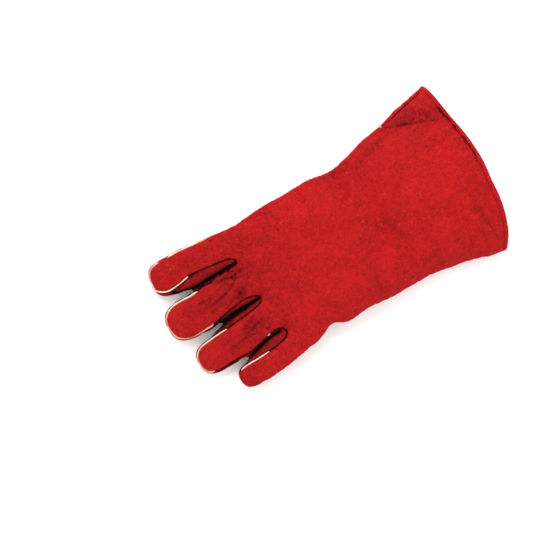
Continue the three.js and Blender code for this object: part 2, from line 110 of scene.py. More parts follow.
# Where a side seam's welt peeps out: x, y, half length, and how far across it is looked for
WELT_SPOTS = [(13.5, 65.2, 0.9), (103.4, 77, 1.7), (123.1, 81.6, 1.6), (-91.4, -55.6, 1.9)]
WELT_SPOT_REACH = 4

# Where the welts are painted darker and redder, as spots: partly painted shade on the fingertips' lower
# sides, partly their own duller colour
WELT_DARKENED = [
    (-168, 49, 10, 7, 0.8, 60), (-177.5, -3, 11, 7, 0.85, 90), (-160, -23, 15, 7, 1.0, -8),
    (-165, -55, 11, 7, 0.8, -75),
]

# The mouth: its place, and its bulges: y, half width, how far out
MOUTH_X = 160.5
MOUTH_BULGES = [(-60, 26, 3.8), (56, 30, -2.8)]
MOUTH_BULGE_FADE = (120, 160)

# Section of the hem: inset from the mouth, out from the cuff's face. It turns in at the mouth, and what lies
# deeper than HEM_SHOWS is inside.
HEM_PROFILE = [
    (6.0, -0.9), (5.7, -0.3), (5.3, 0.0), (4.9, 0.04), (4.5, 0.02), (4.1, -0.05), (3.8, 0.02), (3.4, 0.22),
    (2.8, 0.46), (2.0, 0.62), (1.2, 0.55), (0.5, 0.3), (0.05, -0.25), (-0.1, -1.0), (-0.05, -1.9),
    (0.3, -2.7), (1.0, -3.2), (2.4, -3.4), (5, -3.4), (8, -3.3), (8.9, -3.0), (9.1, -2.4), (8.8, -1.9),
    (7.4, -1.5),
]
HEM_SHOWS = -1
HEM_SIDES = 560

# How far from the mouth the leather is held and where it ends, how far the hem's waves reach, and the height
# above which the back's patches mark the hem
HEM_WIDTH = 5.5
HEM_EDGE = 4.9
HEM_REACH = 9
HEM_SHADE_FROM = 20

# The hem's waves, and the waves that break its stitched line and bend it: size, seed, depth
HEM_WAVES = [(26, 61, 0.7), (9, 62, 0.25)]
HEM_BREAKS = (7, 63, 1)
HEM_LINE_WAVE = (4, 64, 1.3)

# Where the stitched line fades: how much, the sign of y, from and to. And at its breaks: how much, over what
HEM_FAINT = [(1.7, -1, -34, 30), (1.6, 1, 68, 76)]
HEM_BREAK_FAINT = 1.2
HEM_BREAK_OVER = (0.15, 0.45)

# Stitches of the hem: how many, steps for each, how many of the steps one takes, place, size, and the height
# from which they are made
HEM_STITCHES = 118
HEM_STITCH_STEPS = 8
HEM_STITCH_TAKES = 6
HEM_STITCH_INSET = 4.1
HEM_STITCH_OUT = 0.05
STITCH_RADIUS = 0.36
STITCH_SIDES = 6
STITCH_RINGS = 6
STITCH_LOWEST = 3

# Waves of the leather: size, seed, depth. They calm down towards the hem.
WAVES = [(34, 1, 0.7), (13, 2, 0.22), (6, 3, 0.08)]
WAVES_CALM = (140, 158)

# How the leather turns in at a seam, and puffs up beside it: how much, where and how wide, in reaches
SEAM_DEPTH = 1.3
SEAM_REACH = 1.3
SEAM_PUFF = 0.25
SEAM_PUFF_AT = 2.6
SEAM_PUFF_WIDE = 1.5

# How far below the back panel's edge painted shade darkens a finger gap, and the heights over which its
# painted shade, a slit's painted shade and a slit come in
GAP_SHADE = (5.0, 9.5)
GAP_FLOOR = (2, 6)
SLIT_SHADE_FLOOR = (5, 9)
SLIT_FLOOR = (6, 10)

# Where a finger gap opens to the tips, in -x, and the y that parts the last gap from the others
GAP_OPENS = (136, 150)
LITTLE_GAP_OPENS = (112, 126)
LITTLE_GAP_Y = -56

# How near to a seam the leather outside the back's edge counts as, for each millimetre, so that painted shade
# darkens it there as a dark band beside the welt, and the x below which and the y above which it does
OUTER_SHADE = 0.35
OUTER_SHADE_X = -126
OUTER_SHADE_Y = -76

# Where a seam is closed up and hardly shows: x, y, reach. How much farther off and shallower it counts as.
CLOSED_SEAMS = [(-152.5, 58.5, 5)]
CLOSED_AWAY = 3
CLOSED_SHALLOWER = 0.8

# How far up a normal points where creases, patches and slits come in, and where shade in a gap does
CREASED_UP = (0.2, 0.7)
PATCHED_UP = (0.1, 0.6)
SLIT_UP = (0.1, 0.5)
NOT_DOWN = (-0.55, -0.1)

# How dark the leather is painted right in a seam, as painted shade in its groove, and the sheen of its nap
SEAM_DARK = 0.08
SHEEN = 0.2

# Sides and steps of the forms, how a tip rounds and thins, how far the hand's top tilts with its sides, and
# how square the sections are
HAND_SIDES = 180
TUBE_SIDES = 72
STATION_STEP = 2.5
TIP_STEP = 6
TIP_ROUNDNESS = 0.64
TIP_THINNING = 0.75
TOP_TILT = 0.6
HAND_FLANK = 0.8
HAND_CROWN = 0.85
TUBE_FLANK = 0.72
TUBE_CROWN = 0.8

# The tables are drawn about the photo's axes, and this moves them so that the glove's box is centred
SHIFT = (0.66 * MM, -0.99 * MM, 0.0)

# The photo's frame: its middle in the tables' millimetres, its turn in degrees, its width in metres and the
# height at which it is that wide
FRAME_CENTRE = (-62.3, 6.0)
FRAME_TURN = -27
FRAME_WIDTH = 0.533
FRAME_HEIGHT = 0.03
CAMERA_HEIGHT = 2.4
SENSOR = 36
FLOOR_HALF = 6.0
SQUARE = [(-1, -1), (1, -1), (1, 1), (-1, 1)]

# The world's strength, and the lamps: name, place, size, watts
WORLD_LIGHT = 1.2
LIGHTS = [("key", (0.1, 1.3, 1.7), 1.2, 27.0), ("fill", (1.3, -0.6, 1.5), 1.6, 10.0)]

# Heights of the middle of the glove, between its two leathers, along the index side: x, height
SPINE = np.array([
    (-180, 11), (-160, 11), (-135, 12), (-110, 17.5), (-85, 25), (-60, 29.5),
    (-20, 30.5), (15, 29), (45, 22.5), (75, 15.5), (110, 12), (200, 12),
], float)

# Hand and cuff, a row for each section: x, y of the index side and of the little side, height of the top
# and of the underside, skew, bow
HAND = np.array([
    (-84, 52, -80, 29, 23, 0.15, 0),
    (-79, 55, -84.5, 36, 17.5, 0.15, 0),
    (-67, 57, -86, 41.5, 14, 0.13, 0),
    (-50, 60, -81, 45, 12.5, 0.09, 0),
    (-31, 62, -74.8, 46.5, 11, 0.03, 0),
    (-15, 62.5, -79.8, 47, 10, 0, 0),
    (14, 64.5, -77.5, 46.5, 7, 0, 0),
    (40, 62.8, -78.8, 44.5, 2, 0, 0),
    (58, 67.5, -77.6, 42.5, -1, 0, 1),
    (78, 74.5, -76.4, 41.5, -4, 0, 3.5),
    (102, 80, -79, 41.5, -8, 0, 7),
    (126, 87.5, -82, 42.5, -8, 0, 11),
    (146, 93, -87, 43.5, -8, 0, 14),
    (160.5, 96.8, -88.4, 44, -8, 0, 17),
    (170, 99, -89, 44, -8, 0, 18.5),
], float)

# Fingers, a row for each section from the root to where the rounded tip starts: x, y, width, thick
FINGERS = {
    "index": [(-40, 40, 32, 20), (-80, 40, 35, 25), (-100, 40.3, 36.6, 25), (-120, 40.8, 39, 23.5),
              (-136, 40.7, 41, 22), (-147, 41, 39.8, 21.5), (-156, 42, 37, 21)],
    "middle": [(-40, 4, 30, 20), (-80, 2.6, 38, 25), (-100, 1.5, 41.4, 25), (-120, -1, 42.4, 23.5),
               (-140, -3.8, 41, 22), (-156, -4.6, 40.6, 21)],
    "ring": [(-38, -36, 28, 18), (-76, -37.8, 36, 24), (-87, -38.4, 39.4, 24), (-99, -40.8, 41.4, 24.5),
             (-115, -44.4, 43, 22.5), (-132, -47.6, 37.4, 21), (-148, -50.3, 34.4, 20)],
    "little": [(-35, -66, 20, 15), (-68, -71, 33, 21), (-84, -73.4, 36, 21.5), (-100, -77.8, 33, 21),
               (-114, -81.4, 29.4, 19.5), (-122, -83.6, 26, 18)],
}
FINGER_TIPS = {
    "index": (-174, 42.4), "middle": (-178.5, -5.8), "ring": (-167, -52), "little": (-137.2, -85.4),
}

# Thumb, folded down and under the palm: x, y, z, width, thick, turn of the width in degrees from +X
THUMB = [
    (-10, 38, 30, 56, 9, 0), (-11, 49, 27.5, 64, 11, 0), (-12, 55.5, 18.5, 70, 12.5, -1),
    (-13.5, 51, 10, 71, 14, -4), (-20, 38, 7.3, 67, 14.4, -12), (-31, 17, 7.3, 61, 14.4, -22),
    (-44, -9, 7.2, 56, 14.2, -26), (-55, -31, 7.1, 51, 14, -26),
]
THUMB_TIP = (-64, -49, 7.2)

# The bar that the thumb makes under the palm, in plan, and how the palm slopes down from it
THUMB_BAR_FROM = np.array((-13.0, 62.0))
THUMB_BAR_TO = np.array((-53.0, -26.0))
THUMB_BAR_RADII = (37, 28)
THUMB_BAR_MARGIN = 2.5
THUMB_BAR_SLOPE = 30

# Dents and folds of the back, as spots
DENTS = [
    (-112, 12, 13, 3.0, 1.5, -28), (-110, 4, 14, 3.2, 1.2, 12), (-103, -8, 8, 2.4, 1.9, 50),
    (-130, -6, 14, 3.5, 1.0, 10), (-108, -47, 10, 3.5, 1.1, 25), (134, 62, 42, 6, 3.0, -16),
    (45, 48, 26, 12, 2.0, 60), (-20, -66, 24, 8, 2.0, 70), (-96, 36, 10, 5, 0.9, 80),
]

# Creases of the back, as spots, with the shape that all of them have, and the painted shade in them
CREASES = [
    (-96, 18, 11, 1.1, 1.4, -28), (-99, 12.5, 14, 1.2, 1.3, 4), (-97, -5.2, 7.5, 0.9, 1.9, 38),
    (-119, -2, 18, 1.4, 1.2, 14), (-97, -41, 13, 1.2, 1.3, 22), (-103, 4, 11, 1.1, 1.3, 28),
    (-91, 9, 9, 1.0, 1.0, -8), (-113, 15, 12, 1.1, 1.1, -8), (-127, -9, 13, 1.3, 0.8, 20),
    (-107, -38, 12, 1.2, 1.1, 12), (-86, -48, 8, 1.2, 0.9, 40), (-120, -50, 14, 1.3, 0.8, 8),
    (-103, 44, 10, 1.2, 0.6, 75), (-109, -10, 13, 1.1, 1.1, 26), (-135, 3, 12, 1.2, 0.8, -6),
    (-112, 8, 12, 1.2, 1.0, 10), (-100, -34, 9, 1.0, 1.0, 30), (-88, 0, 9, 1.0, 0.9, 52),
    (153, -50, 26, 2.6, 0.7, -78), (146, -62, 14, 2.2, 0.6, -70),
    (88, -60, 20, 2.4, 0.6, 12), (52, 30, 24, 2.6, 0.5, 60), (66, 55, 14, 2.0, 0.7, 24),
    (30, -60, 18, 2.2, 0.6, 80),
]
CREASE_CURVE = 0.6
CREASE_FADE = 1.6
CREASE_LIP = 0.35
CREASE_LIP_AT = 2.2
CREASE_LIP_WIDE = 1.1
CREASE_SHADE = 0.34
CREASE_DEEPEST_SHADE = 1.4

# The tight slits at the bottom of the finger gaps, pressed down and painted dark as painted shade, in plan:
# x, y, half width
SLITS = [
    [(-158, 23.8, 1.5), (-150, 21.8, 2.8), (-138, 19.5, 2.8), (-120, 20.9, 2.6), (-105, 22, 2.3),
     (-94, 23, 1.8), (-88.2, 24, 1.2)],
    [(-140, -28, 3.4), (-128, -25, 5.0), (-115, -22.3, 4.0), (-100, -20.9, 2.9), (-91, -20.0, 2.1),
     (-84.2, -19.2, 1.5)],
    [(-130, -71, 1.6), (-122, -68.4, 2.3), (-110, -64.6, 2.6), (-100, -61.3, 2.6), (-90, -58.4, 2.4),
     (-80, -57.2, 2.3)],
]
SLIT_DEPTH = 4.0

# The x over which the slit beside the index finger deepens, and the others
SLIT_FADE_INDEX = (-130, -120)
SLIT_FADE = (-122, -112)

# The fold at the cuff's radial corner: a line in plan from and to, past which the leather drops, its drop,
# crease, lip and shade, and where along it (as a part) and past it these come in
FACET_FROM = np.array((108.0, 75.5))
FACET_TO = np.array((168.0, 55.0))
FACET_DROP = 1.5
FACET_CREASE = 0.9
FACET_LIP = 0.4
FACET_LIP_AT = 3.2
FACET_LIP_WIDE = 2
FACET_WIDE = 1.2
FACET_SHADE = 0.42
FACET_STARTS = (-0.15, 0.2)
FACET_MOUTH = (3, 14)
FACET_DROPS = (-1, 8)
FACET_CREASE_ENDS = (0.75, 1)
FACET_SHADE_STARTS = (-0.05, 0.1)
FACET_SHADE_ENDS = (0.5, 0.95)

# Soiled and shaded patches of the back, as spots
PATCHES = [
    (138, 74, 28, 8, 0.36, -14), (124, 72, 16, 4, 0.3, -16), (152, 62, 12, 6, 0.25, -30),
    (86, 64, 24, 6, 0.3, 20), (-98, 14, 18, 7, 0.34, -12), (-98, -8, 10, 5, 0.4, 38),
    (-122, 0, 28, 14, 0.2, 10), (-150, 42, 26, 15, 0.14, 0), (-98, -42, 16, 7, 0.3, 22),
    (-132, -50, 28, 13, 0.18, 8), (-128, -84, 14, 9, 0.2, 10), (-116, 48, 28, 11, 0.16, 4),
    (-156, -6, 20, 16, 0.12, 0), (-60, 10, 34, 60, 0.12, 0), (60, -14, 22, 13, 0.1, 20),
    (152, -46, 10, 22, 0.12, -10), (40, 60, 22, 5, 0.2, 0), (-86, 30, 14, 10, 0.16, 0),
]

# Paler bands of the back, as spots
PALE_BANDS = [(158, -30, 3, 34, 0.22, 4), (146, -58, 3, 18, 0.16, 10)]

# Outline of the back panel in plan, from the index side round each finger to the ulnar side, then far
# outside the glove. It lies outside the glove wherever the side seam is upright: x, y
BACK_OUTLINE = [
    (-82, 90), (-200, 90), (-200, 44), (-177, 37), (-170, 32.2), (-165, 28.8), (-160, 28.3), (-150, 29.4),
    (-143, 31.1), (-136, 33), (-127, 33), (-116, 32), (-104, 31), (-95, 30.2), (-89.5, 28),
    (-86.8, 25), (-90, 23.2), (-98, 21.8), (-112, 20.6), (-124, 19.2), (-136, 17.6), (-150, 18), (-200, 19),
    (-200, -25), (-163, -25), (-150, -24.6), (-141, -23.4), (-131, -21), (-120, -18),
    (-109, -15.6), (-98, -13.6), (-89.5, -13.8), (-84, -15.9),
    (-81, -19.5), (-83.5, -22.8), (-89, -25.1), (-98, -27), (-110, -28.9), (-122, -30.8), (-134, -32.6),
    (-146, -33.8), (-156, -34.2), (-200, -34.2), (-200, -68), (-160, -68), (-142, -68),
    (-128, -67.4), (-121, -65.4), (-110, -62.6), (-100, -59.3), (-90, -56), (-82, -54.2), (-76.5, -55.6),
    (-73, -60), (-75.5, -64.8), (-81, -67.4), (-90, -69.8), (-101, -71.3), (-114, -72.7), (-125, -73.4),
    (-131.2, -74.6), (-137, -74.6), (-200, -75), (-200, -130), (200, -130), (200, 130), (-82, 130),
]

# How high the back panel's edge lies over the middle of the glove, and where: towards the tips in -x, between
# the fingers in -x and y, at the index side in -x and y, on the cuff in x and y
SEAM_LIFT = {"tips": 4.8, "fingers": 6.0, "cuff": 8.8}
LIFT_TIPS = (138, 160)
LIFT_INNER = ((74, 92), (-80, -72), (30, 36))
LIFT_RADIAL = ((92, 112), (30, 40))
LIFT_CUFF = ((88, 112), (0, 40))

# How far down a fourchette reaches from the back's edge, in the fingers and at their root
FOURCHETTE_HEIGHTS = (12, 5.5)
FOURCHETTE_NARROWS = (-108, -92)

# Where it starts to grow from nothing, in the last gap and in the others, the y that parts these, its taper
FOURCHETTE_STARTS = (-130, -164)
FOURCHETTE_PARTING = (-72, -68)
FOURCHETTE_TAPER = 30

# The lowest that it reaches from the glove's middle, in the fingers and at their root
FOURCHETTE_LOWEST = (-12, 0.5)
FOURCHETTE_LIFTS = (-104, -90)

# Where the fourchettes lie in plan, and the two fingers that have fronts of their own
FOURCHETTE_OUTLINES = {
    "fourchette_index_middle": [(-158, 42), (-66, 42), (-66, 3), (-158, -3)],
    "fourchette_middle_ring": [(-156, -3), (-66, 3), (-60, -38), (-156, -50)],
    "fourchette_ring_little": [
        (-150, -50), (-68, -40), (-66, -70), (-98, -76), (-128, -78), (-128, -70), (-150, -70),
    ],
}
FRONT_OUTLINES = {
    "middle_front": [
        (-200, 19.5), (-140, 19.5), (-100, 22.6), (-60, 26), (-60, -18), (-100, -17), (-150, -28),
        (-200, -30),
    ],
    "ring_front": [
        (-200, -30), (-150, -28), (-100, -17), (-60, -18), (-60, -62), (-92, -62), (-120, -68), (-200, -72),
    ],
}

# Where each welt shows, in plan
WELT_OUTLINES = {
    "welt_index": [
        (-190, 75), (-159, 75), (-156, 54), (-149, 54), (-146, 75), (-98, 75), (-98, 45), (-137, 40),
        (-137, 20), (-190, 20),
    ],
    "welt_middle": [(-190, 20), (-136, 20), (-136, -27), (-190, -30)],
    "welt_ring": [
        (-190, -31), (-160, -30.5), (-127, -24), (-127, -46), (-150, -50), (-156, -60), (-156, -71),
        (-190, -72),
    ],
    "welt_little": [(-133, -69.4), (-99, -66.6), (-99, -80), (-133, -80)],
}
THUMB_WELT_OUTLINE = [(-66, -5), (-110, -20), (-110, -90), (-20, -90), (-20, -36), (-48, -30)]


def along(table, column, x):
    """A column of a table at x, on a smooth curve through its rows."""
    rows = table[:, 0]
    values = table[:, column]
    slopes = np.gradient(values, rows)
    x = np.clip(x, rows[0], rows[-1])
    n = np.clip(np.searchsorted(rows, x) - 1, 0, len(rows) - 2)
    span = rows[n + 1] - rows[n]
    t = (x - rows[n]) / span
    return (
        values[n] * (2 * t**3 - 3 * t**2 + 1)
        + slopes[n] * span * (t**3 - 2 * t**2 + t)
        + values[n + 1] * (3 * t**2 - 2 * t**3)
        + slopes[n + 1] * span * (t**3 - t**2)
    )


def smoothstep(value, low, high):
    t = np.clip((value - low) / (high - low), 0, 1)
    return t * t * (3 - 2 * t)


def lerp(a, b, t):
    return a + (b - a) * t


def middle_height(x, y):
    side_lift = 0.5 + 0.5 * smoothstep(y, *SIDE_RISE)
    return FINGER_REST + (np.interp(x, SPINE[:, 0], SPINE[:, 1]) - FINGER_REST) * side_lift


def segment(points, start, end):
    """Each point's part of the way from start to end, and its distance from the line between them."""
    axis = end - start
    point = points - start
    part = np.clip(point @ axis / (axis @ axis), 0, 1)
    return part, np.linalg.norm(point - part[..., None] * axis, axis=-1)


def thumb_bar_distance(x, y):
    """How far a place lies inside the bar that the thumb makes under the palm, in plan."""
    part, away = segment(np.stack([x, y], -1), THUMB_BAR_FROM, THUMB_BAR_TO)
    return lerp(*THUMB_BAR_RADII, part) - away


def ground(x, y):
    """What the palm lies on: the floor, and the thumb under it."""
    away = -thumb_bar_distance(x, y)
    lift = 1 - smoothstep(away, THUMB_BAR_MARGIN, THUMB_BAR_MARGIN + THUMB_BAR_SLOPE)
    return (THUMB_TOP + PALM_CLEARANCE) * lift


def spots(table, x, y):
    """For each spot of a table, how far places lie along and across it, in its sizes, and its strength."""
    for cx, cy, length, width, strength, turn in table:
        c, s = math.cos(math.radians(turn)), math.sin(math.radians(turn))
        yield ((x - cx) * c + (y - cy) * s) / length, ((y - cy) * c - (x - cx) * s) / width, strength


def dent_depth(x, y):
    depth = np.zeros_like(x)
    for u, v, deep in spots(DENTS, x, y):
        depth += deep * np.exp(-(u**2) - v**2)
    return depth


def power(value, exponent):
    return np.sign(value) * np.abs(value) ** exponent


def mouth_bulge(x, y):
    """How far the mouth's edge stands beyond its plain curve, fading away from the mouth."""
    reach = sum(out * np.exp(-(((y - at) / wide) ** 2)) for at, wide, out in MOUTH_BULGES)
    return reach * smoothstep(x, *MOUTH_BULGE_FADE)


def mouth_line(y, inset=0.0):
    """x of the mouth's edge at y, or of a line that lies inset from it."""
    radial, ulnar, bow = (along(HAND, n, MOUTH_X) for n in (1, 2, 6))
    part = (y - (radial + ulnar) / 2) / ((radial - ulnar) / 2)
    return MOUTH_X + bow * (1 - part**2) + mouth_bulge(MOUTH_X, y) - inset


# Forms

def new_object(name, data):
    obj = bpy.data.objects.new(name, data)
    bpy.context.scene.collection.objects.link(obj)
    return obj


def filled(mesh, bm):
    """The mesh with a bmesh's faces, turned out; the bmesh is freed."""
    bmesh.ops.recalc_face_normals(bm, faces=bm.faces)
    bm.to_mesh(mesh)
    bm.free()
    return mesh


def closed_mesh(name, points, faces):
    """A closed mesh of points in millimetres, with its faces turned out."""
    mesh = bpy.data.meshes.new(name)
    mesh.from_pydata((points * MM).tolist(), [], faces)
    bm = bmesh.new()
    bm.from_mesh(mesh)
    return filled(mesh, bm)


def wall(rows, rings, count):
    """Faces that join rings of count points for some rows. After the last ring comes the first."""
    faces = []
    for row in range(rows):
        a, b = row * count, (row + 1) % rings * count
        for side in range(count):
            onward = (side + 1) % count
            faces.append((a + side, a + onward, b + onward, b + side))
    return faces


def loft(name, rings):
    """A closed form over rings of points."""
    count = len(rings[0])
    points = np.concatenate(rings + [rings[0].mean(0, keepdims=True), rings[-1].mean(0, keepdims=True)])
    faces = wall(len(rings) - 1, len(rings), count)
    first, last = len(points) - 2, len(points) - 1
    start = (len(rings) - 1) * count
    for side in range(count):
        faces.append((first, (side + 1) % count, side))
        faces.append((last, start + side, start + (side + 1) % count))
    return new_object(name, closed_mesh(name, points, faces))


def hand_section(station, angle):
    """x, y and height round a section of hand and cuff, before anything under it lifts it."""
    across = power(np.cos(angle), HAND_FLANK)
    rise = power(np.sin(angle), HAND_CROWN)
    radial, ulnar, top, under, skew, bow = (along(HAND, n, station) for n in range(1, 7))
    y = (radial + ulnar) / 2 + (radial - ulnar) / 2 * across
    x = station - skew * y + bow * (1 - across**2) + mouth_bulge(station, y)
    edge = middle_height(x, y)
    tilt = edge - middle_height(x, np.zeros_like(y))
    over = edge + rise * (top + TOP_TILT * tilt - edge) - dent_depth(x, y) * rise
    below = edge + rise * (edge - under - tilt)
    return x, y, np.where(rise > 0, over, below)


def hand_form():
    angle = np.linspace(0, 2 * np.pi, HAND_SIDES, endpoint=False)
    rings = []
    for station in np.arange(HAND[0, 0], HAND[-1, 0] + 0.1, STATION_STEP):
        x, y, z = hand_section(station, angle)
        rings.append(np.stack([x, y, np.maximum(z, ground(x, y))], -1))
    return loft("hand_form", rings)


def with_tip(rows, tip):
    """Rows resampled along a tube, then shrunk round its tip."""
    table = np.array(rows, float)
    places = len(tip)
    reach = np.cumsum(np.r_[0, np.linalg.norm(np.diff(table[:, :places], axis=0), axis=1)])
    keyed = np.c_[reach, table]
    stations = np.arange(0, keyed[-1, 0], STATION_STEP)
    out = list(np.stack([along(keyed, n, stations) for n in range(1, keyed.shape[1])], -1))
    last = table[-1]
    for degrees in range(0, 90, TIP_STEP):
        part = math.sin(math.radians(degrees))
        size = math.cos(math.radians(degrees)) ** TIP_ROUNDNESS
        row = last.copy()
        row[:places] = lerp(last[:places], np.array(tip, float), part)
        row[places] *= size
        row[places + 1] *= lerp(1, size, TIP_THINNING)
        out.append(row)
    return np.array(out)


def tube_ring(centre, wide_axis, thick_axis, width, thick):
    angle = np.linspace(0, 2 * np.pi, TUBE_SIDES, endpoint=False)
    across = width / 2 * power(np.cos(angle), TUBE_FLANK)
    rise = thick / 2 * power(np.sin(angle), TUBE_CROWN)
    return centre + across[:, None] * wide_axis + rise[:, None] * thick_axis


def finger_form(name):
    rows = with_tip(FINGERS[name], FINGER_TIPS[name])
    rings = []
    for n, (x, y, width, thick) in enumerate(rows):
        before, after = rows[max(n - 1, 0)], rows[min(n + 1, len(rows) - 1)]
        heading = math.atan2(after[1] - before[1], after[0] - before[0])
        height = max(float(middle_height(x, y)), thick / 2)
        wide_axis = np.array((math.sin(heading), -math.cos(heading), 0))
        ring = tube_ring(np.array((x, y, height)), wide_axis, np.array((0, 0, 1.0)), width, thick)
        ring[:, 2] -= np.where(ring[:, 2] > height, dent_depth(ring[:, 0], ring[:, 1]), 0)
        ring[:, 2] = np.maximum(ring[:, 2], ground(ring[:, 0], ring[:, 1]))
        rings.append(ring)
    return loft(name + "_form", rings)


def thumb_form():
    rows = with_tip(THUMB, THUMB_TIP)
    rings = []
    for n, (x, y, z, width, thick, turn) in enumerate(rows):
        before, after = rows[max(n - 1, 0), :3], rows[min(n + 1, len(rows) - 1), :3]
        forward = (after - before) / np.linalg.norm(after - before)
        wide_axis = np.array((math.cos(math.radians(turn)), math.sin(math.radians(turn)), 0))
        thick_axis = np.cross(wide_axis, forward)
        thick_axis /= np.linalg.norm(thick_axis)
        ring = tube_ring(np.array((x, y, z)), wide_axis, thick_axis, width, thick)
        ring[:, 2] = np.maximum(ring[:, 2], THUMB_LOWEST)
        rings.append(ring)
    return loft("thumb_form", rings)


def evaluated(obj, *modifiers):
    """obj's mesh after modifiers, each a type and its settings; obj itself is removed."""
    for kind, settings in modifiers:
        modifier = obj.modifiers.new(kind.lower(), kind)
        for key, value in settings.items():
            setattr(modifier, key, value)
    bpy.context.view_layer.update()
    depsgraph = bpy.context.evaluated_depsgraph_get()
    mesh = bpy.data.meshes.new_from_object(obj.evaluated_get(depsgraph))
    bpy.data.objects.remove(obj)
    return mesh


def joined(name, objects):
    bm = bmesh.new()
    for obj in objects:
        bm.from_mesh(obj.data)
        bpy.data.objects.remove(obj)
    mesh = bpy.data.meshes.new(name)
    bm.to_mesh(mesh)
    bm.free()
    return new_object(name, mesh)


def remeshed(obj, voxel, smooth):
    return evaluated(
        obj,
        ("REMESH", {"mode": "VOXEL", "voxel_size": voxel * MM, "use_smooth_shade": True}),
        ("SMOOTH", {"factor": 0.5, "iterations": smooth}),
    )


def vectors_of(mesh, key):
    found = np.empty(len(mesh.vertices) * 3)
    mesh.vertices.foreach_get(key, found)
    return found.reshape(-1, 3)


def points_of(mesh):
    return vectors_of(mesh, "co") / MM


def set_points(mesh, points):
    mesh.vertices.foreach_set("co", (points * MM).ravel())
    mesh.update()


def smoothed(outline, rounds=2):
    """A closed outline with its corners cut off."""
    points = np.array(outline, float)
    for _ in range(rounds):
        after = np.roll(points, -1, 0)
        points = np.stack([0.75 * points + 0.25 * after, 0.25 * points + 0.75 * after], 1).reshape(-1, 2)
    return points


def inside_distance(points, outline):
    """Distance in plan from each point to a closed outline: positive inside it."""
    x, y = points[:, 0], points[:, 1]
    outline = np.array(outline, float)
    best = np.full(len(points), np.inf)
    inside = np.zeros(len(points), bool)
    for (ax, ay), (bx, by) in zip(outline, np.roll(outline, -1, 0)):
        ex, ey = bx - ax, by - ay
        t = np.clip(((x - ax) * ex + (y - ay) * ey) / max(ex * ex + ey * ey, 1e-9), 0, 1)
        best = np.minimum(best, np.hypot(x - ax - t * ex, y - ay - t * ey))
        if ay != by:
            inside ^= ((ay > y) != (by > y)) & (x < ax + (y - ay) / (by - ay) * ex)
    return np.where(inside, best, -best)


# Fields that part the leather. Each is positive on one side of a seam, in about millimetres.

def seam_lift(x, y):
    """How far above the middle the back panel's edge lies where it goes round the side."""
    between_tips = 1 - smoothstep(-x, *LIFT_TIPS)
    root, little, index = LIFT_INNER
    inner = smoothstep(-x, *root) * smoothstep(y, *little) * (1 - smoothstep(y, *index))
    lift = lerp(SEAM_LIFT["tips"], SEAM_LIFT["fingers"], between_tips) * inner
    radial = smoothstep(-x, *LIFT_RADIAL[0]) * smoothstep(y, *LIFT_RADIAL[1])
    lift = np.maximum(lift, SEAM_LIFT["tips"] * radial)
    cuff = smoothstep(x, *LIFT_CUFF[0]) * smoothstep(y, *LIFT_CUFF[1])
    return np.maximum(lift, SEAM_LIFT["cuff"] * cuff)


def back_field(p):
    level = p[:, 2] - middle_height(p[:, 0], p[:, 1]) - seam_lift(p[:, 0], p[:, 1])
    return np.minimum(inside_distance(p, smoothed(BACK_OUTLINE)), level)


def fourchette_height(x, y):
    start = lerp(*FOURCHETTE_STARTS, smoothstep(y, *FOURCHETTE_PARTING))
    height = lerp(*FOURCHETTE_HEIGHTS, smoothstep(x, *FOURCHETTE_NARROWS))
    return height * smoothstep(x, start, start + FOURCHETTE_TAPER)


def fourchette_field(p, name):
    x, y = p[:, 0], p[:, 1]
    low = seam_lift(x, y) - fourchette_height(x, y)
    low = np.maximum(low, lerp(*FOURCHETTE_LOWEST, smoothstep(x, *FOURCHETTE_LIFTS)))
    return np.minimum(p[:, 2] - middle_height(x, y) - low, inside_distance(p, FOURCHETTE_OUTLINES[name]))


def front_field(p, name):
    return np.minimum(FINGER_BASE - p[:, 0], inside_distance(p, FRONT_OUTLINES[name]))


def thumb_field(p):
    return np.minimum(thumb_bar_distance(p[:, 0], p[:, 1]) + THUMB_SEAM_REACH, THUMB_TOP + LEATHER - p[:, 2])


def mouth_field(p, inset=0.0):
    return p[:, 0] - mouth_line(p[:, 1], inset)


def carve(bm, source, target, field):
    """Cuts a piece along a field's zero line. Its faces where the field is positive go to another piece."""
    layer = bm.faces.layers.int["piece"]
    bm.verts.index_update()
    faces = [f for f in bm.faces if f[layer] == source]
    verts = sorted({v for f in faces for v in f.verts}, key=lambda v: v.index)
    found = field(np.array([v.co[:] for v in verts]) / MM)
    found = np.where(np.abs(found) < ON_LINE, 0.0, found)
    values = dict(zip(verts, found))
    bm.edges.index_update()
    edges = sorted({e for f in faces for e in f.edges}, key=lambda e: e.index)
    crossed = set()
    for edge in edges:
        a, b = edge.verts
        va, vb = values[a], values[b]
        if va * vb < 0:
            _, vert = bmesh.utils.edge_split(edge, a, va / (va - vb))
            values[vert] = 0.0
            crossed.update(vert.link_faces)
    for face in sorted(crossed, key=lambda f: f.index):
        if not face.is_valid or face[layer] != source:
            continue
        on_line = [v for v in face.verts if values.get(v, 1) == 0]
        signs = [values.get(v, 0) for v in face.verts]
        if len(on_line) < 2 or min(signs) >= 0 or max(signs) <= 0:
            continue
        a, b = on_line[0], on_line[-1]
        if not any(e.other_vert(a) is b for e in a.link_edges):
            bmesh.utils.face_split(face, a, b)
    for face in bm.faces:
        if face[layer] == source and sum(values.get(v, 0) for v in face.verts) > 0:
            face[layer] = target


# The leather, before it is parted

def waves(points, size, seed, depth):
    """Soft seeded noise at each point, for waves of about size millimetres."""
    shift = Vector((seed * 17.3, seed * 5.7, seed * 11.1))
    return np.array([depth * noise.noise(Vector(p) / size + shift) for p in points.tolist()])


def facet_axes(points):
    """Each point's part of the way along the corner's fold, and its distance past it."""
    axis = FACET_TO - FACET_FROM
    point = points[:, :2] - FACET_FROM
    u = point @ axis / (axis @ axis)
    v = (point[:, 1] * axis[0] - point[:, 0] * axis[1]) / np.linalg.norm(axis)
    return u, v


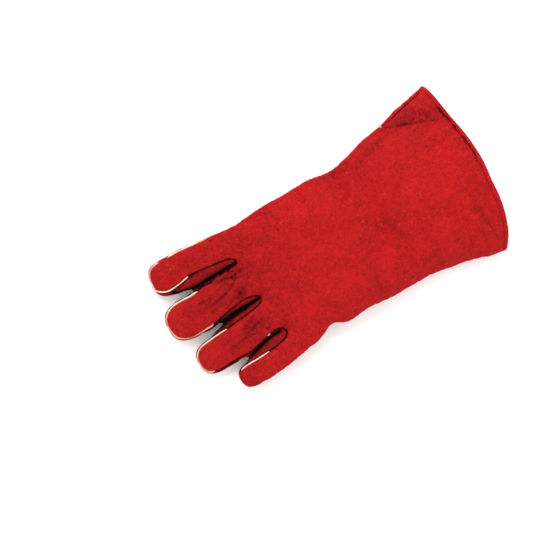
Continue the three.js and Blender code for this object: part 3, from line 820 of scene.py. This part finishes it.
def crease_offset(points, normals):
    """How far up each crease's lips stand and its valley lies, for leather that faces up."""
    lift = np.zeros(len(points))
    for u, v, deep in spots(CREASES, points[:, 0], points[:, 1]):
        v = v - CREASE_CURVE * u**2
        lips = CREASE_LIP * np.exp(-((np.abs(v) - CREASE_LIP_AT) / CREASE_LIP_WIDE) ** 2)
        lift += deep * np.exp(-(u**2) * CREASE_FADE) * (lips - np.exp(-(v**2)))
    u, v = facet_axes(points)
    shown = smoothstep(u, *FACET_STARTS) * smoothstep(-mouth_field(points), *FACET_MOUTH)
    lift -= shown * FACET_DROP * smoothstep(v, *FACET_DROPS)
    lift -= shown * FACET_CREASE * np.exp(-((v / FACET_WIDE) ** 2)) * (1 - smoothstep(u, *FACET_CREASE_ENDS))
    lift += shown * FACET_LIP * np.exp(-(((v + FACET_LIP_AT) / FACET_LIP_WIDE) ** 2))
    return lift * smoothstep(normals[:, 2], *CREASED_UP)


def patch_strength(points):
    """How dark the back is painted: soiled and shaded patches, paler bands, painted shade in creases and the
    corner's fold; 0 as it is, 1 nearly black, below 0 paler.
    """
    x, y = points[:, 0], points[:, 1]
    found = np.zeros(len(points))
    for table, sign in ((PATCHES, 1), (PALE_BANDS, -1)):
        for u, v, strength in spots(table, x, y):
            found += sign * strength * np.exp(-(u**2) - v**2)
    # Painted shade in the creases, and below it along the corner's fold
    for u, v, deep in spots(CREASES, x, y):
        shape = np.exp(-(u**2) * CREASE_FADE - (v - CREASE_CURVE * u**2) ** 2)
        found += CREASE_SHADE * min(deep, CREASE_DEEPEST_SHADE) * shape
    u, v = facet_axes(points)
    along_fold = smoothstep(u, *FACET_SHADE_STARTS) * (1 - smoothstep(u, *FACET_SHADE_ENDS))
    found += FACET_SHADE * np.exp(-((v / FACET_WIDE) ** 2)) * along_fold
    return found


def slit_closeness(points):
    """Distance in plan to the nearest slit between two fingers, in half widths of that slit."""
    best = np.full(len(points), np.inf)
    for slit in SLITS:
        for a, b in zip(slit, slit[1:]):
            part, away = segment(points[:, :2], np.array(a[:2], float), np.array(b[:2], float))
            best = np.minimum(best, away / lerp(a[2], b[2], part))
    return best


def tree_of(points):
    """A search tree over points."""
    tree = KDTree(len(points))
    for index, point in enumerate(points):
        tree.insert(point, index)
    tree.balance()
    return tree


def loose_part(points):
    """How loose the leather is at each point: 0 where it is held, and 1 where it is free."""
    x, y, z = points.T
    held = np.minimum(np.abs(back_field(points)), np.abs(mouth_field(points, HEM_WIDTH)))
    loose = smoothstep(held, *SIM_LOOSE) * (1 - smoothstep(x, *SIM_HELD_CUFF))
    loose *= smoothstep(z, *SIM_HELD_FLOOR)
    on_thumb = smoothstep(thumb_bar_distance(x, y), *SIM_HELD_THUMB)
    return loose * (1 - on_thumb * (1 - smoothstep(z, *SIM_HELD_THUMB_TOP)))


def settle(mesh):
    """The leather's puff and slack between its seams, as a cloth simulation leaves it."""
    slack = remeshed(new_object("slack", mesh.copy()), SIM_VOXEL, 1)
    points = points_of(slack)
    obj = new_object("slack", slack)
    group = obj.vertex_groups.new(name="held")
    for index, weight in enumerate(1 - loose_part(points)):
        group.add([index], float(weight), "REPLACE")
    cloth = obj.modifiers.new("cloth", "CLOTH")
    for key, value in SIM_LEATHER.items():
        setattr(cloth.settings, key, value)
    cloth.settings.vertex_group_mass = "held"
    cloth.settings.effector_weights.gravity = 0
    cloth.collision_settings.use_collision = False
    cloth.point_cache.frame_end = SIM_FRAMES
    for step in range(1, SIM_FRAMES + 1):
        bpy.context.scene.frame_set(step)
    depsgraph = bpy.context.evaluated_depsgraph_get()
    moved = points_of(obj.evaluated_get(depsgraph).data) - points
    reach = np.linalg.norm(moved, axis=1)
    moved *= (np.minimum(reach, SIM_MOST) / np.maximum(reach, 1e-6))[:, None]
    bpy.context.scene.frame_set(1)
    tree = tree_of(points)
    fine = points_of(mesh)
    offset = np.zeros_like(fine)
    for index, point in enumerate(fine):
        near = tree.find_n(point, SIM_NEIGHBOURS)
        weights = np.array([1 / (n[2] + SIM_SOFTENING) ** 2 for n in near])
        offset[index] = (moved[[n[1] for n in near]] * weights[:, None]).sum(0) / weights.sum()
    bpy.data.objects.remove(obj)
    print("cloth moved the leather by up to", round(float(np.linalg.norm(offset, axis=1).max()), 2), "mm")
    return offset


def leather_mesh():
    forms = [hand_form()] + [finger_form(name) for name in FINGERS] + [thumb_form()]
    mesh = remeshed(joined("leather", forms), FINE_VOXEL, FINE_ROUNDS)
    set_points(mesh, points_of(mesh) + settle(mesh))
    points, normals = points_of(mesh), vectors_of(mesh, "normal")
    lift = crease_offset(points, normals)
    calm = 1 - smoothstep(points[:, 0], *WAVES_CALM)
    for size, seed, depth in WAVES:
        lift += waves(points, size, seed, depth) * calm
    points += normals * lift[:, None]
    x, y, z = points.T
    low, high = (lerp(a, b, y > 0) for a, b in zip(SLIT_FADE, SLIT_FADE_INDEX))
    slit = np.exp(-(slit_closeness(points) ** 2)) * smoothstep(z, *SLIT_FLOOR) * smoothstep(x, low, high)
    points[:, 2] -= SLIT_DEPTH * slit * smoothstep(normals[:, 2], *SLIT_UP)
    points[:, 2] = np.maximum(points[:, 2], LOWEST)
    set_points(mesh, points)
    return mesh


PIECES = [
    "outside", "back_panel", "palm_panel", "cuff_palm", "middle_front", "ring_front", "thumb_front",
    "thumb_back", "fourchette_index_middle", "fourchette_middle_ring", "fourchette_ring_little",
]


def parted(mesh):
    """The leather cut into its pieces, each face marked with the piece it belongs to."""
    bm = bmesh.new()
    bm.from_mesh(mesh)
    layer = bm.faces.layers.int.new("piece")
    number = PIECES.index
    palm = number("palm_panel")
    for face in bm.faces:
        face[layer] = palm
    carve(bm, palm, number("outside"), lambda p: mouth_field(p, HEM_EDGE))
    carve(bm, palm, number("back_panel"), back_field)
    for name in FOURCHETTE_OUTLINES:
        carve(bm, palm, number(name), lambda p, name=name: fourchette_field(p, name))
    carve(bm, palm, number("thumb_front"), thumb_field)
    carve(bm, number("thumb_front"), number("thumb_back"), lambda p: THUMB_SPLIT - p[:, 2])
    for name in FRONT_OUTLINES:
        carve(bm, palm, number(name), lambda p, name=name: front_field(p, name))
    carve(bm, palm, number("cuff_palm"), lambda p: p[:, 0] - WRIST_SEAM)
    outside = [f for f in bm.faces if f[layer] == number("outside")]
    bmesh.ops.delete(bm, geom=outside, context="FACES")
    bm.normal_update()
    return bm


def seam_points(bm):
    """Places about half a millimetre apart along every line where two pieces meet."""
    layer = bm.faces.layers.int["piece"]
    places = []
    for edge in bm.edges:
        if len(edge.link_faces) == 2 and edge.link_faces[0][layer] != edge.link_faces[1][layer]:
            a, b = (np.array(v.co) / MM for v in edge.verts)
            for part in np.linspace(0, 1, 4):
                places.append(lerp(a, b, part))
    return np.array(places)


def shade_of(points, up, outside):
    """How much painted shade darkens each point: soiled and shaded patches, and painted shade in the finger
    gaps and slits.
    """
    x, y, z = points.T
    depth = middle_height(x, y) + seam_lift(x, y) - z
    gaps = [inside_distance(points, outline) for outline in FOURCHETTE_OUTLINES.values()]
    low, high = (lerp(a, b, y > LITTLE_GAP_Y) for a, b in zip(LITTLE_GAP_OPENS, GAP_OPENS))
    # Painted shade deep down in the finger gaps, and near black painted shade along the slits
    deep = smoothstep(depth, *GAP_SHADE) * (np.maximum.reduce(gaps) > 0) * smoothstep(z, *GAP_FLOOR)
    deep *= 1 - smoothstep(-x, low, high)
    deep *= smoothstep(up, *NOT_DOWN)
    slit = np.exp(-(slit_closeness(points) ** 4)) * outside * smoothstep(z, *SLIT_SHADE_FLOOR)
    slit *= smoothstep(up, *NOT_DOWN)
    patches = np.where(outside, 0, patch_strength(points)) * smoothstep(up, *PATCHED_UP)
    return np.maximum.reduce([patches, deep, slit])


def groove(bm):
    """Turns the leather in along its seams, and marks how near each point is to one, for painted shade in the
    seams, and how much painted shade and soil darken it.
    """
    seam = bm.verts.layers.float.new("seam")
    shade = bm.verts.layers.float.new("shade")
    layer = bm.faces.layers.int["piece"]
    back = PIECES.index("back_panel")
    points = np.array([v.co[:] for v in bm.verts]) / MM
    up = np.array([v.normal.z for v in bm.verts])
    outside = np.array([all(f[layer] != back for f in v.link_faces) for v in bm.verts])
    shades = shade_of(points, up, outside)
    tree = tree_of(seam_points(bm))
    x, y, _ = points.T
    closed = sum(np.exp(-((x - at[0]) ** 2 + (y - at[1]) ** 2) / at[2] ** 2) for at in CLOSED_SEAMS)
    # Leather outside the back's edge near the tips gets painted shade: its seam mark counts as nearer to the
    # seam
    beside = outside & (x < OUTER_SHADE_X) & (y > OUTER_SHADE_Y)
    moves = []
    for vert, below, shut in zip(bm.verts, beside, closed):
        away = tree.find(vert.co / MM)[2]
        vert[seam] = away * (OUTER_SHADE if below else 1) + CLOSED_AWAY * shut
        sunk = SEAM_DEPTH * (1 - CLOSED_SHALLOWER * shut) * math.exp(-((away / SEAM_REACH) ** 2))
        puff_part = (away - SEAM_PUFF_AT * SEAM_REACH) / (SEAM_PUFF_WIDE * SEAM_REACH)
        puff = SEAM_PUFF * math.exp(-(puff_part**2))
        moves.append(vert.normal * (puff - sunk))
    for vert, move, value in zip(bm.verts, moves, shades):
        vert[shade] = value
        vert.co += move * MM
        vert.co.z = max(vert.co.z, FLOOR_GAP * MM)


# Pieces

def add_object(name, mesh, material_list):
    obj = new_object(name, mesh)
    mesh.materials.clear()
    for material in material_list:
        mesh.materials.append(material)
    mesh.shade_smooth()
    return obj


def mark(mesh, name, values):
    """Gives each of the mesh's points a value that a material reads."""
    mesh.attributes.new(name, "FLOAT", "POINT").data.foreach_set("value", values)


def panel(bm, name, outer, inner):
    """One piece of leather as an object, with its thickness to the inside."""
    layer = bm.faces.layers.int["piece"]
    number = PIECES.index(name)
    faces = [f for f in bm.faces if f[layer] == number]
    verts = {}
    for face in faces:
        for vert in face.verts:
            verts.setdefault(vert, len(verts))
    mesh = bpy.data.meshes.new(name)
    mesh.from_pydata([v.co[:] for v in verts], [], [[verts[v] for v in f.verts] for f in faces])
    for key in ("seam", "shade"):
        values = bm.verts.layers.float[key]
        mark(mesh, key, [v[values] for v in verts])
    mesh.materials.append(outer)
    mesh.materials.append(inner)
    thick = evaluated(new_object(name + "_face", mesh), ("SOLIDIFY", {
        "thickness": LEATHER * MM, "offset": -1.0, "material_offset": 1, "material_offset_rim": 0,
    }))
    return add_object(name + "_leather", thick, [outer, inner])


def seam_lines(bm, first_kind, second_kind, outline=None):
    """The lines where two kinds of pieces meet, inside an outline in plan: arrays of points and normals."""
    layer = bm.faces.layers.int["piece"]
    first_kind, second_kind = ({PIECES.index(n) for n in kind} for kind in (first_kind, second_kind))
    links = {}
    bm.edges.index_update()
    for edge in bm.edges:
        if len(edge.link_faces) != 2:
            continue
        a, b = (f[layer] for f in edge.link_faces)
        if not ((a in first_kind and b in second_kind) or (a in second_kind and b in first_kind)):
            continue
        middle = (np.array(edge.verts[0].co) + np.array(edge.verts[1].co)) / 2 / MM
        if outline is not None and inside_distance(middle[None], outline)[0] < 0:
            continue
        for vert in edge.verts:
            links.setdefault(vert, []).append(edge.other_vert(vert))
    lines = []
    seen = set()
    for start in sorted(links, key=lambda v: (len(links[v]) != 1, v.index)):
        if start in seen:
            continue
        line = [start]
        seen.add(start)
        while onward := [v for v in links[line[-1]] if v not in seen]:
            seen.add(onward[0])
            line.append(onward[0])
        points = np.array([v.co[:] for v in line]) / MM
        if len(line) > 3 and np.linalg.norm(np.diff(points, axis=0), axis=1).sum() > SHORTEST_LINE:
            lines.append((points, np.array([v.normal[:] for v in line])))
    return lines


def resampled(points, normals, step, rounds):
    """A line with even steps, smoothed, with unit normals at right angles to it."""
    for _ in range(rounds):
        points[1:-1] = 0.5 * points[1:-1] + 0.25 * (points[:-2] + points[2:])
        normals[1:-1] = 0.5 * normals[1:-1] + 0.25 * (normals[:-2] + normals[2:])
    length = np.r_[0, np.cumsum(np.linalg.norm(np.diff(points, axis=0), axis=1))]
    at = np.linspace(0, length[-1], max(int(length[-1] / step), 2) + 1)
    points = np.stack([np.interp(at, length, points[:, n]) for n in range(3)], -1)
    normals = np.stack([np.interp(at, length, normals[:, n]) for n in range(3)], -1)
    tangents = np.gradient(points, axis=0)
    tangents /= np.linalg.norm(tangents, axis=1, keepdims=True)
    normals -= (normals * tangents).sum(1, keepdims=True) * tangents
    normals /= np.linalg.norm(normals, axis=1, keepdims=True)
    return points, normals, tangents


def welt_darkening(points):
    """How far a welt is painted darker and redder at each point, from 0 to 1: partly painted shade, partly
    its own duller colour.
    """
    found = np.zeros(len(points))
    for u, v, strength in spots(WELT_DARKENED, points[:, 0], points[:, 1]):
        found = np.maximum(found, strength * np.exp(-(u**4) - v**4))
    return found


def add_tube(bm, rings):
    """Faces between rings of a bmesh's vertices, and over both ends."""
    count = len(rings[0])
    for a, b in zip(rings, rings[1:]):
        for n in range(count):
            bm.faces.new((a[n], a[(n + 1) % count], b[(n + 1) % count], b[n]))
    bm.faces.new(rings[0])
    bm.faces.new(rings[-1][::-1])


def welt(name, lines):
    """A strip of cream leather that stands a little out of the seam along each line."""
    bm = bmesh.new()
    for number, (points, normals) in enumerate(lines):
        points, normals, tangents = resampled(points.copy(), normals.copy(), WELT_STEP, WELT_SMOOTHING)
        sides = np.cross(tangents, normals)
        count = len(points)
        ends = np.minimum(np.arange(count), np.arange(count)[::-1]) * WELT_STEP
        dive = -WELT_DIVE * (1 - smoothstep(ends, *WELT_DIVE_OVER))
        sway, rise = (waves(points, size, seed + number, deep) for size, seed, deep in (WELT_SWAY, WELT_RISE))
        rings = []
        for n in range(count):
            ring = []
            for across, out in WELT_PROFILE:
                height = out + (dive[n] + rise[n] if out > WELT_FOOT else 0)
                place = points[n] + sides[n] * (across + sway[n]) + normals[n] * height
                place[2] = max(place[2], LOWEST)
                ring.append(bm.verts.new(place * MM))
            rings.append(ring)
        add_tube(bm, rings)
    mesh = filled(bpy.data.meshes.new(name), bm)
    # This mark says where the welt is painted darker and redder, partly as painted shade.
    mark(mesh, "welt_dark", welt_darkening(points_of(mesh)))
    return mesh


# The hem

def cuff_ring(inset, angle):
    """The cuff's outer face, an inset from its mouth."""
    x, y, z = hand_section(MOUTH_X - inset, angle)
    return np.stack([x, y, np.maximum(z, 0)], -1)


def even_angles(count):
    """Angles that stand at even distances round the mouth."""
    fine = np.linspace(0, 2 * np.pi, 4001)
    points = cuff_ring(0, fine)
    length = np.r_[0, np.cumsum(np.linalg.norm(np.diff(points, axis=0), axis=1))]
    return np.interp(np.linspace(0, length[-1], count, endpoint=False), length, fine)


def cuff_place(inset, out, angle):
    """A place on the cuff, out from its face, and the way out there."""
    point = cuff_ring(inset, angle)
    round_it = cuff_ring(inset, angle + 0.004) - cuff_ring(inset, angle - 0.004)
    along_it = cuff_ring(inset - 0.5, angle) - cuff_ring(inset + 0.5, angle)
    outward = np.cross(round_it, along_it)
    outward /= np.maximum(np.linalg.norm(outward, axis=1, keepdims=True), 1e-9)
    return point + outward * np.asarray(out)[..., None], outward


def hem_mesh():
    angle = even_angles(HEM_SIDES)
    place = cuff_ring(0, angle)
    y = place[:, 1]
    wobble = sum(waves(place, *wave) for wave in HEM_WAVES)
    rings = []
    for inset, out in HEM_PROFILE:
        shows = out > HEM_SHOWS
        ring, _ = cuff_place(inset, out + 0.25 * wobble * shows, angle)
        ring[:, 0] += wobble * (1 - smoothstep(inset, 0, HEM_REACH))
        ring[:, 2] = np.maximum(ring[:, 2], FLOOR_GAP if shows else FLOOR_GAP - out * 0.9)
        rings.append(ring)
    mesh = closed_mesh("cuff_hem", np.concatenate(rings), wall(len(rings), len(rings), HEM_SIDES))
    faint = sum(much * smoothstep(sign * y, low, high) for much, sign, low, high in HEM_FAINT)
    faint += HEM_BREAK_FAINT * smoothstep(waves(place, *HEM_BREAKS), *HEM_BREAK_OVER)
    line = HEM_STITCH_INSET - 0.3 + waves(place, *HEM_LINE_WAVE)
    seam = [
        np.abs(inset - line) * 1.1 - 0.3 + faint + (3 if out < HEM_SHOWS else 0)
        for inset, out in HEM_PROFILE
    ]
    mark(mesh, "seam", np.concatenate(seam))
    shaded = place[:, 2] > HEM_SHADE_FROM
    mark(mesh, "shade", np.concatenate([patch_strength(ring) * shaded for ring in rings]))
    return mesh


def stitch_row(name, starts, ends, outward):
    """Short stitches from start to end, bowed out a little in the middle."""
    bm = bmesh.new()
    for start, end, out in zip(starts, ends, outward):
        way = end - start
        way = way / np.linalg.norm(way)
        side = np.cross(way, out)
        rings = []
        for part in np.linspace(0, 1, STITCH_RINGS):
            bow = math.sin(part * math.pi)
            centre = lerp(start, end, part) + out * (bow**0.6 * STITCH_RADIUS * 1.5 - STITCH_RADIUS)
            size = STITCH_RADIUS * (0.45 + 0.55 * bow**0.5)
            ring = []
            for turn in np.linspace(0, 2 * np.pi, STITCH_SIDES, endpoint=False):
                spoke = math.cos(turn) * side + math.sin(turn) * out
                ring.append(bm.verts.new((centre + size * spoke) * MM))
            rings.append(ring)
        add_tube(bm, rings)
    return filled(bpy.data.meshes.new(name), bm)


def hem_stitches():
    step, takes = HEM_STITCH_STEPS, HEM_STITCH_TAKES
    line, outward = cuff_place(HEM_STITCH_INSET, HEM_STITCH_OUT, even_angles(HEM_STITCHES * step))
    starts, ends, out = line[::step], line[takes::step], outward[takes // 2::step]
    shown = starts[:, 2] > STITCH_LOWEST
    return stitch_row("hem_stitches", starts[shown], ends[shown], out[shown])


# Finishes

class Nodes:
    """A material's node tree, built node by node."""

    def __init__(self, name):
        self.material = bpy.data.materials.new(name)
        self.material.use_nodes = True
        self.tree = self.material.node_tree
        self.tree.nodes.clear()
        self.place = self.add("ShaderNodeTexCoord").outputs["Object"]

    def add(self, kind, inputs=None, **settings):
        node = self.tree.nodes.new(kind)
        for key, value in settings.items():
            setattr(node, key, value)
        for key, value in (inputs or {}).items():
            if isinstance(value, bpy.types.NodeSocket):
                self.tree.links.new(value, node.inputs[key])
            else:
                node.inputs[key].default_value = value
        return node

    def noise(self, scale, detail=3.0, roughness=0.55, distortion=0.0):
        inputs = {
            "Vector": self.place, "Scale": scale, "Detail": detail, "Roughness": roughness,
            "Distortion": distortion,
        }
        return self.add("ShaderNodeTexNoise", inputs).outputs["Fac"]

    def spread(self, value, low, high, out_low=0.0, out_high=1.0):
        inputs = {"Value": value, "From Min": low, "From Max": high, "To Min": out_low, "To Max": out_high}
        return self.add("ShaderNodeMapRange", inputs, clamp=True).outputs["Result"]

    def mix(self, factor, a, b, blend="MIX"):
        inputs = {0: factor, 6: a, 7: b}
        return self.add("ShaderNodeMix", inputs, data_type="RGBA", blend_type=blend).outputs[2]

    def math(self, operation, a, b):
        return self.add("ShaderNodeMath", {0: a, 1: b}, operation=operation).outputs[0]

    def plus(self, a, b):
        return self.math("ADD", a, b)

    def times(self, a, b):
        return self.math("MULTIPLY", a, b)

    def attribute(self, name):
        return self.add("ShaderNodeAttribute", attribute_name=name).outputs["Fac"]

    def finish(self, colour, roughness, bump, strength, distance, **extra):
        normal = self.add("ShaderNodeBump", {"Height": bump, "Strength": strength, "Distance": distance})
        inputs = {"Base Color": colour, "Roughness": roughness, "Normal": normal.outputs["Normal"]}
        inputs.update(extra)
        shader = self.add("ShaderNodeBsdfPrincipled", inputs)
        self.add("ShaderNodeOutputMaterial", {"Surface": shader.outputs["BSDF"]})
        return self.material


def suede(name, bright, dark, fleck):
    """Split leather: a mottled nap with darker and lighter blotches and fine pits, with painted shade in its
    seams and where its shade mark says.
    """
    n = Nodes(name)
    blotches = n.spread(n.noise(34, 4, 0.6, 0.4), 0.34, 0.66)
    mottle = n.spread(n.noise(230, 6, 0.75, 0.8), 0.38, 0.64)
    nap = n.spread(n.noise(520, 4, 0.8), 0.36, 0.66)
    pits = n.spread(n.noise(380, 4, 0.7, 1.2), 0.57, 0.66)
    flecks = n.spread(n.noise(330, 2, 0.5, 0.3), 0.68, 0.76)
    tone = n.plus(n.times(blotches, 0.24), n.times(mottle, 0.38))
    tone = n.plus(tone, n.times(nap, 0.38))
    colour = n.mix(tone, dark, bright)
    colour = n.mix(n.times(pits, 0.62), colour, [c * 0.42 for c in dark[:3]] + [1])
    colour = n.mix(n.times(flecks, 0.3), colour, fleck)
    # Painted shade: the shade mark darkens gaps, slits, creases and shaded patches, and the seam mark paints
    # shade in the seams' grooves and darkens the hem's stitched line
    shade = n.attribute("shade")
    broken = n.plus(n.spread(mottle, 0, 1, 1.4, 0.3), n.spread(shade, 0.7, 1.0, 0.0, 0.6))
    kept = n.spread(n.times(shade, broken), -0.5, 1, 1.44, 0.02)
    uneven = n.plus(n.attribute("seam"), n.spread(mottle, 0, 1, -0.35, 0.35))
    near = n.times(n.spread(uneven, 0.25, 1.5, SEAM_DARK, 1.0), kept)
    grey = n.add("ShaderNodeCombineColor", {"Red": near, "Green": near, "Blue": near}).outputs["Color"]
    colour = n.mix(1.0, colour, grey, "MULTIPLY")
    height = n.plus(n.times(mottle, 0.5), n.times(nap, 0.5))
    height = n.math("SUBTRACT", height, n.times(pits, 0.5))
    return n.finish(colour, n.spread(nap, 0, 1, 0.86, 0.98), height, 0.7, 0.0009, **{
        "Specular IOR Level": 0.08, "Sheen Weight": n.times(near, SHEEN), "Sheen Roughness": 0.55,
        "Sheen Tint": bright,
    })


def strip_leather(name, bright, dark, worn, dark_welt):
    """Smooth cream leather with yellowed and soiled stretches, and stretches painted darker and redder,
    partly as painted shade.
    """
    n = Nodes(name)
    soil = n.spread(n.noise(120, 4, 0.65, 0.5), 0.42, 0.7)
    yellow = n.spread(n.noise(38, 2, 0.5, 0.2), 0.50, 0.62)
    grain = n.noise(1300, 3, 0.6)
    colour = n.mix(n.times(yellow, 0.8), bright, dark)
    colour = n.mix(n.times(soil, 0.6), colour, worn)
    # The welt is painted darker and redder where its mark says: partly painted shade
    welt_dark = n.times(n.attribute("welt_dark"), n.spread(soil, 0, 1, 0.75, 1.0))
    colour = n.mix(welt_dark, colour, dark_welt)
    return n.finish(colour, 0.7, grain, 0.35, 0.0003, **{"Specular IOR Level": 0.3})


def sewing_thread(name, bright, dark):
    n = Nodes(name)
    twist = n.add("ShaderNodeTexWave", {"Vector": n.place, "Scale": 900.0, "Distortion": 2.0}).outputs["Fac"]
    colour = n.mix(n.spread(twist, 0.2, 0.8), dark, bright)
    return n.finish(colour, 0.8, twist, 0.5, 0.0002, **{"Specular IOR Level": 0.1})


def plain_floor(name):
    n = Nodes(name)
    fine = n.noise(14, 2, 0.5)
    colour = n.mix(n.spread(fine, 0.3, 0.7), (0.93, 0.93, 0.93, 1), (0.95, 0.95, 0.95, 1))
    return n.finish(colour, 0.9, fine, 0.02, 0.0001, **{"Specular IOR Level": 0.0})


# The glove

red = suede("red_suede", (0.545, 0.011, 0.0125, 1), (0.208, 0.0048, 0.0056, 1), (0.61, 0.11, 0.07, 1))
# A darker copy of the red suede for the fourchettes: partly a darker leather, partly painted shade of the
# finger gaps
darker_shaded_red = suede("darker_shaded_suede", (0.34, 0.008, 0.009, 1), (0.13, 0.0032, 0.004, 1), (0.40, 0.05, 0.03, 1))
hem_red = suede("hem_suede", (0.53, 0.011, 0.0125, 1), (0.208, 0.0048, 0.0056, 1), (0.59, 0.11, 0.07, 1))
lining_red = suede("inner_suede", (0.28, 0.016, 0.016, 1), (0.16, 0.008, 0.008, 1), (0.34, 0.06, 0.05, 1))
cream = strip_leather(
    "cream_leather", (0.80, 0.74, 0.60, 1), (0.66, 0.37, 0.13, 1), (0.40, 0.24, 0.11, 1),
    (0.48, 0.085, 0.03, 1),
)
red_thread = sewing_thread("red_thread", (0.26, 0.006, 0.007, 1), (0.08, 0.002, 0.003, 1))

REPLACED = {
    "back_panel": ["back_panel", "back_cuff", "back_index", "back_middle", "back_ring", "back_little"],
}


def belongs(obj, node=None):
    """The piece rides on the glove and stands for its solids, which are hidden."""
    obj.location = SHIFT
    bpy.context.view_layer.update()
    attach(obj, "root")
    if node:
        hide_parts(*REPLACED.get(node, [node]))


leather = parted(leather_mesh())
back = ["back_panel"]
fronts = ["middle_front", "ring_front"]
fingers = ["palm_panel"] + fronts + list(FOURCHETTE_OUTLINES)
welt_lines = {}
for welt_name, welt_outline in WELT_OUTLINES.items():
    welt_lines[welt_name] = seam_lines(leather, back, fingers, welt_outline)
welt_lines["welt_thumb"] = seam_lines(leather, ["thumb_front"], ["thumb_back"], THUMB_WELT_OUTLINE)
welt_lines["welt_finger_base"] = seam_lines(leather, ["palm_panel"], fronts)
welt_lines["welt_wrist"] = seam_lines(leather, ["palm_panel"], ["cuff_palm"])
welt_lines["welt_cuff_side"] = []
for x, y, reach in WELT_SPOTS:
    box = [(x + a * reach, y + b * WELT_SPOT_REACH) for a, b in SQUARE]
    welt_lines["welt_cuff_side"] += seam_lines(leather, back, ["cuff_palm"] + fingers, box)
groove(leather)

for piece in PIECES[1:]:
    # Fourchettes take the darker suede, which is partly painted shade of the gaps between the fingers
    outer = darker_shaded_red if piece.startswith("fourchette") else red
    belongs(panel(leather, piece, outer, lining_red), piece)
for welt_name, lines in welt_lines.items():
    belongs(add_object(welt_name + "_strip", welt(welt_name, lines), [cream]), welt_name)
belongs(add_object("cuff_hem_leather", hem_mesh(), [hem_red]), "cuff_hem")
belongs(add_object("hem_stitches", hem_stitches(), [red_thread]))

# The stage

floor_mesh = bpy.data.meshes.new("floor")
floor_mesh.from_pydata([(x * FLOOR_HALF, y * FLOOR_HALF, 0) for x, y in SQUARE], [], [(0, 1, 2, 3)])
floor = add_object("floor", floor_mesh, [plain_floor("pale_floor")])

world = bpy.data.worlds.new("studio")
world.use_nodes = True
background = world.node_tree.nodes["Background"]
background.inputs["Color"].default_value = (1, 1, 1, 1)
background.inputs["Strength"].default_value = WORLD_LIGHT
bpy.context.scene.world = world


def area_light(name, place, size, watts):
    light = bpy.data.lights.new(name, "AREA")
    light.shape = "SQUARE"
    light.size = size
    light.energy = watts
    obj = new_object(name, light)
    obj.location = place
    obj.rotation_euler = (-Vector(place)).to_track_quat("-Z", "Y").to_euler()


for light_row in LIGHTS:
    area_light(*light_row)

camera_data = bpy.data.cameras.new("camera")
camera_data.sensor_width = SENSOR
camera_data.lens = SENSOR * (CAMERA_HEIGHT - FRAME_HEIGHT) / FRAME_WIDTH
camera = new_object("camera", camera_data)
camera.location = (FRAME_CENTRE[0] * MM + SHIFT[0], FRAME_CENTRE[1] * MM + SHIFT[1], CAMERA_HEIGHT)
camera.rotation_euler = (0, 0, math.radians(FRAME_TURN))
bpy.context.scene.camera = camera
bpy.context.scene.view_settings.view_transform = "Standard"
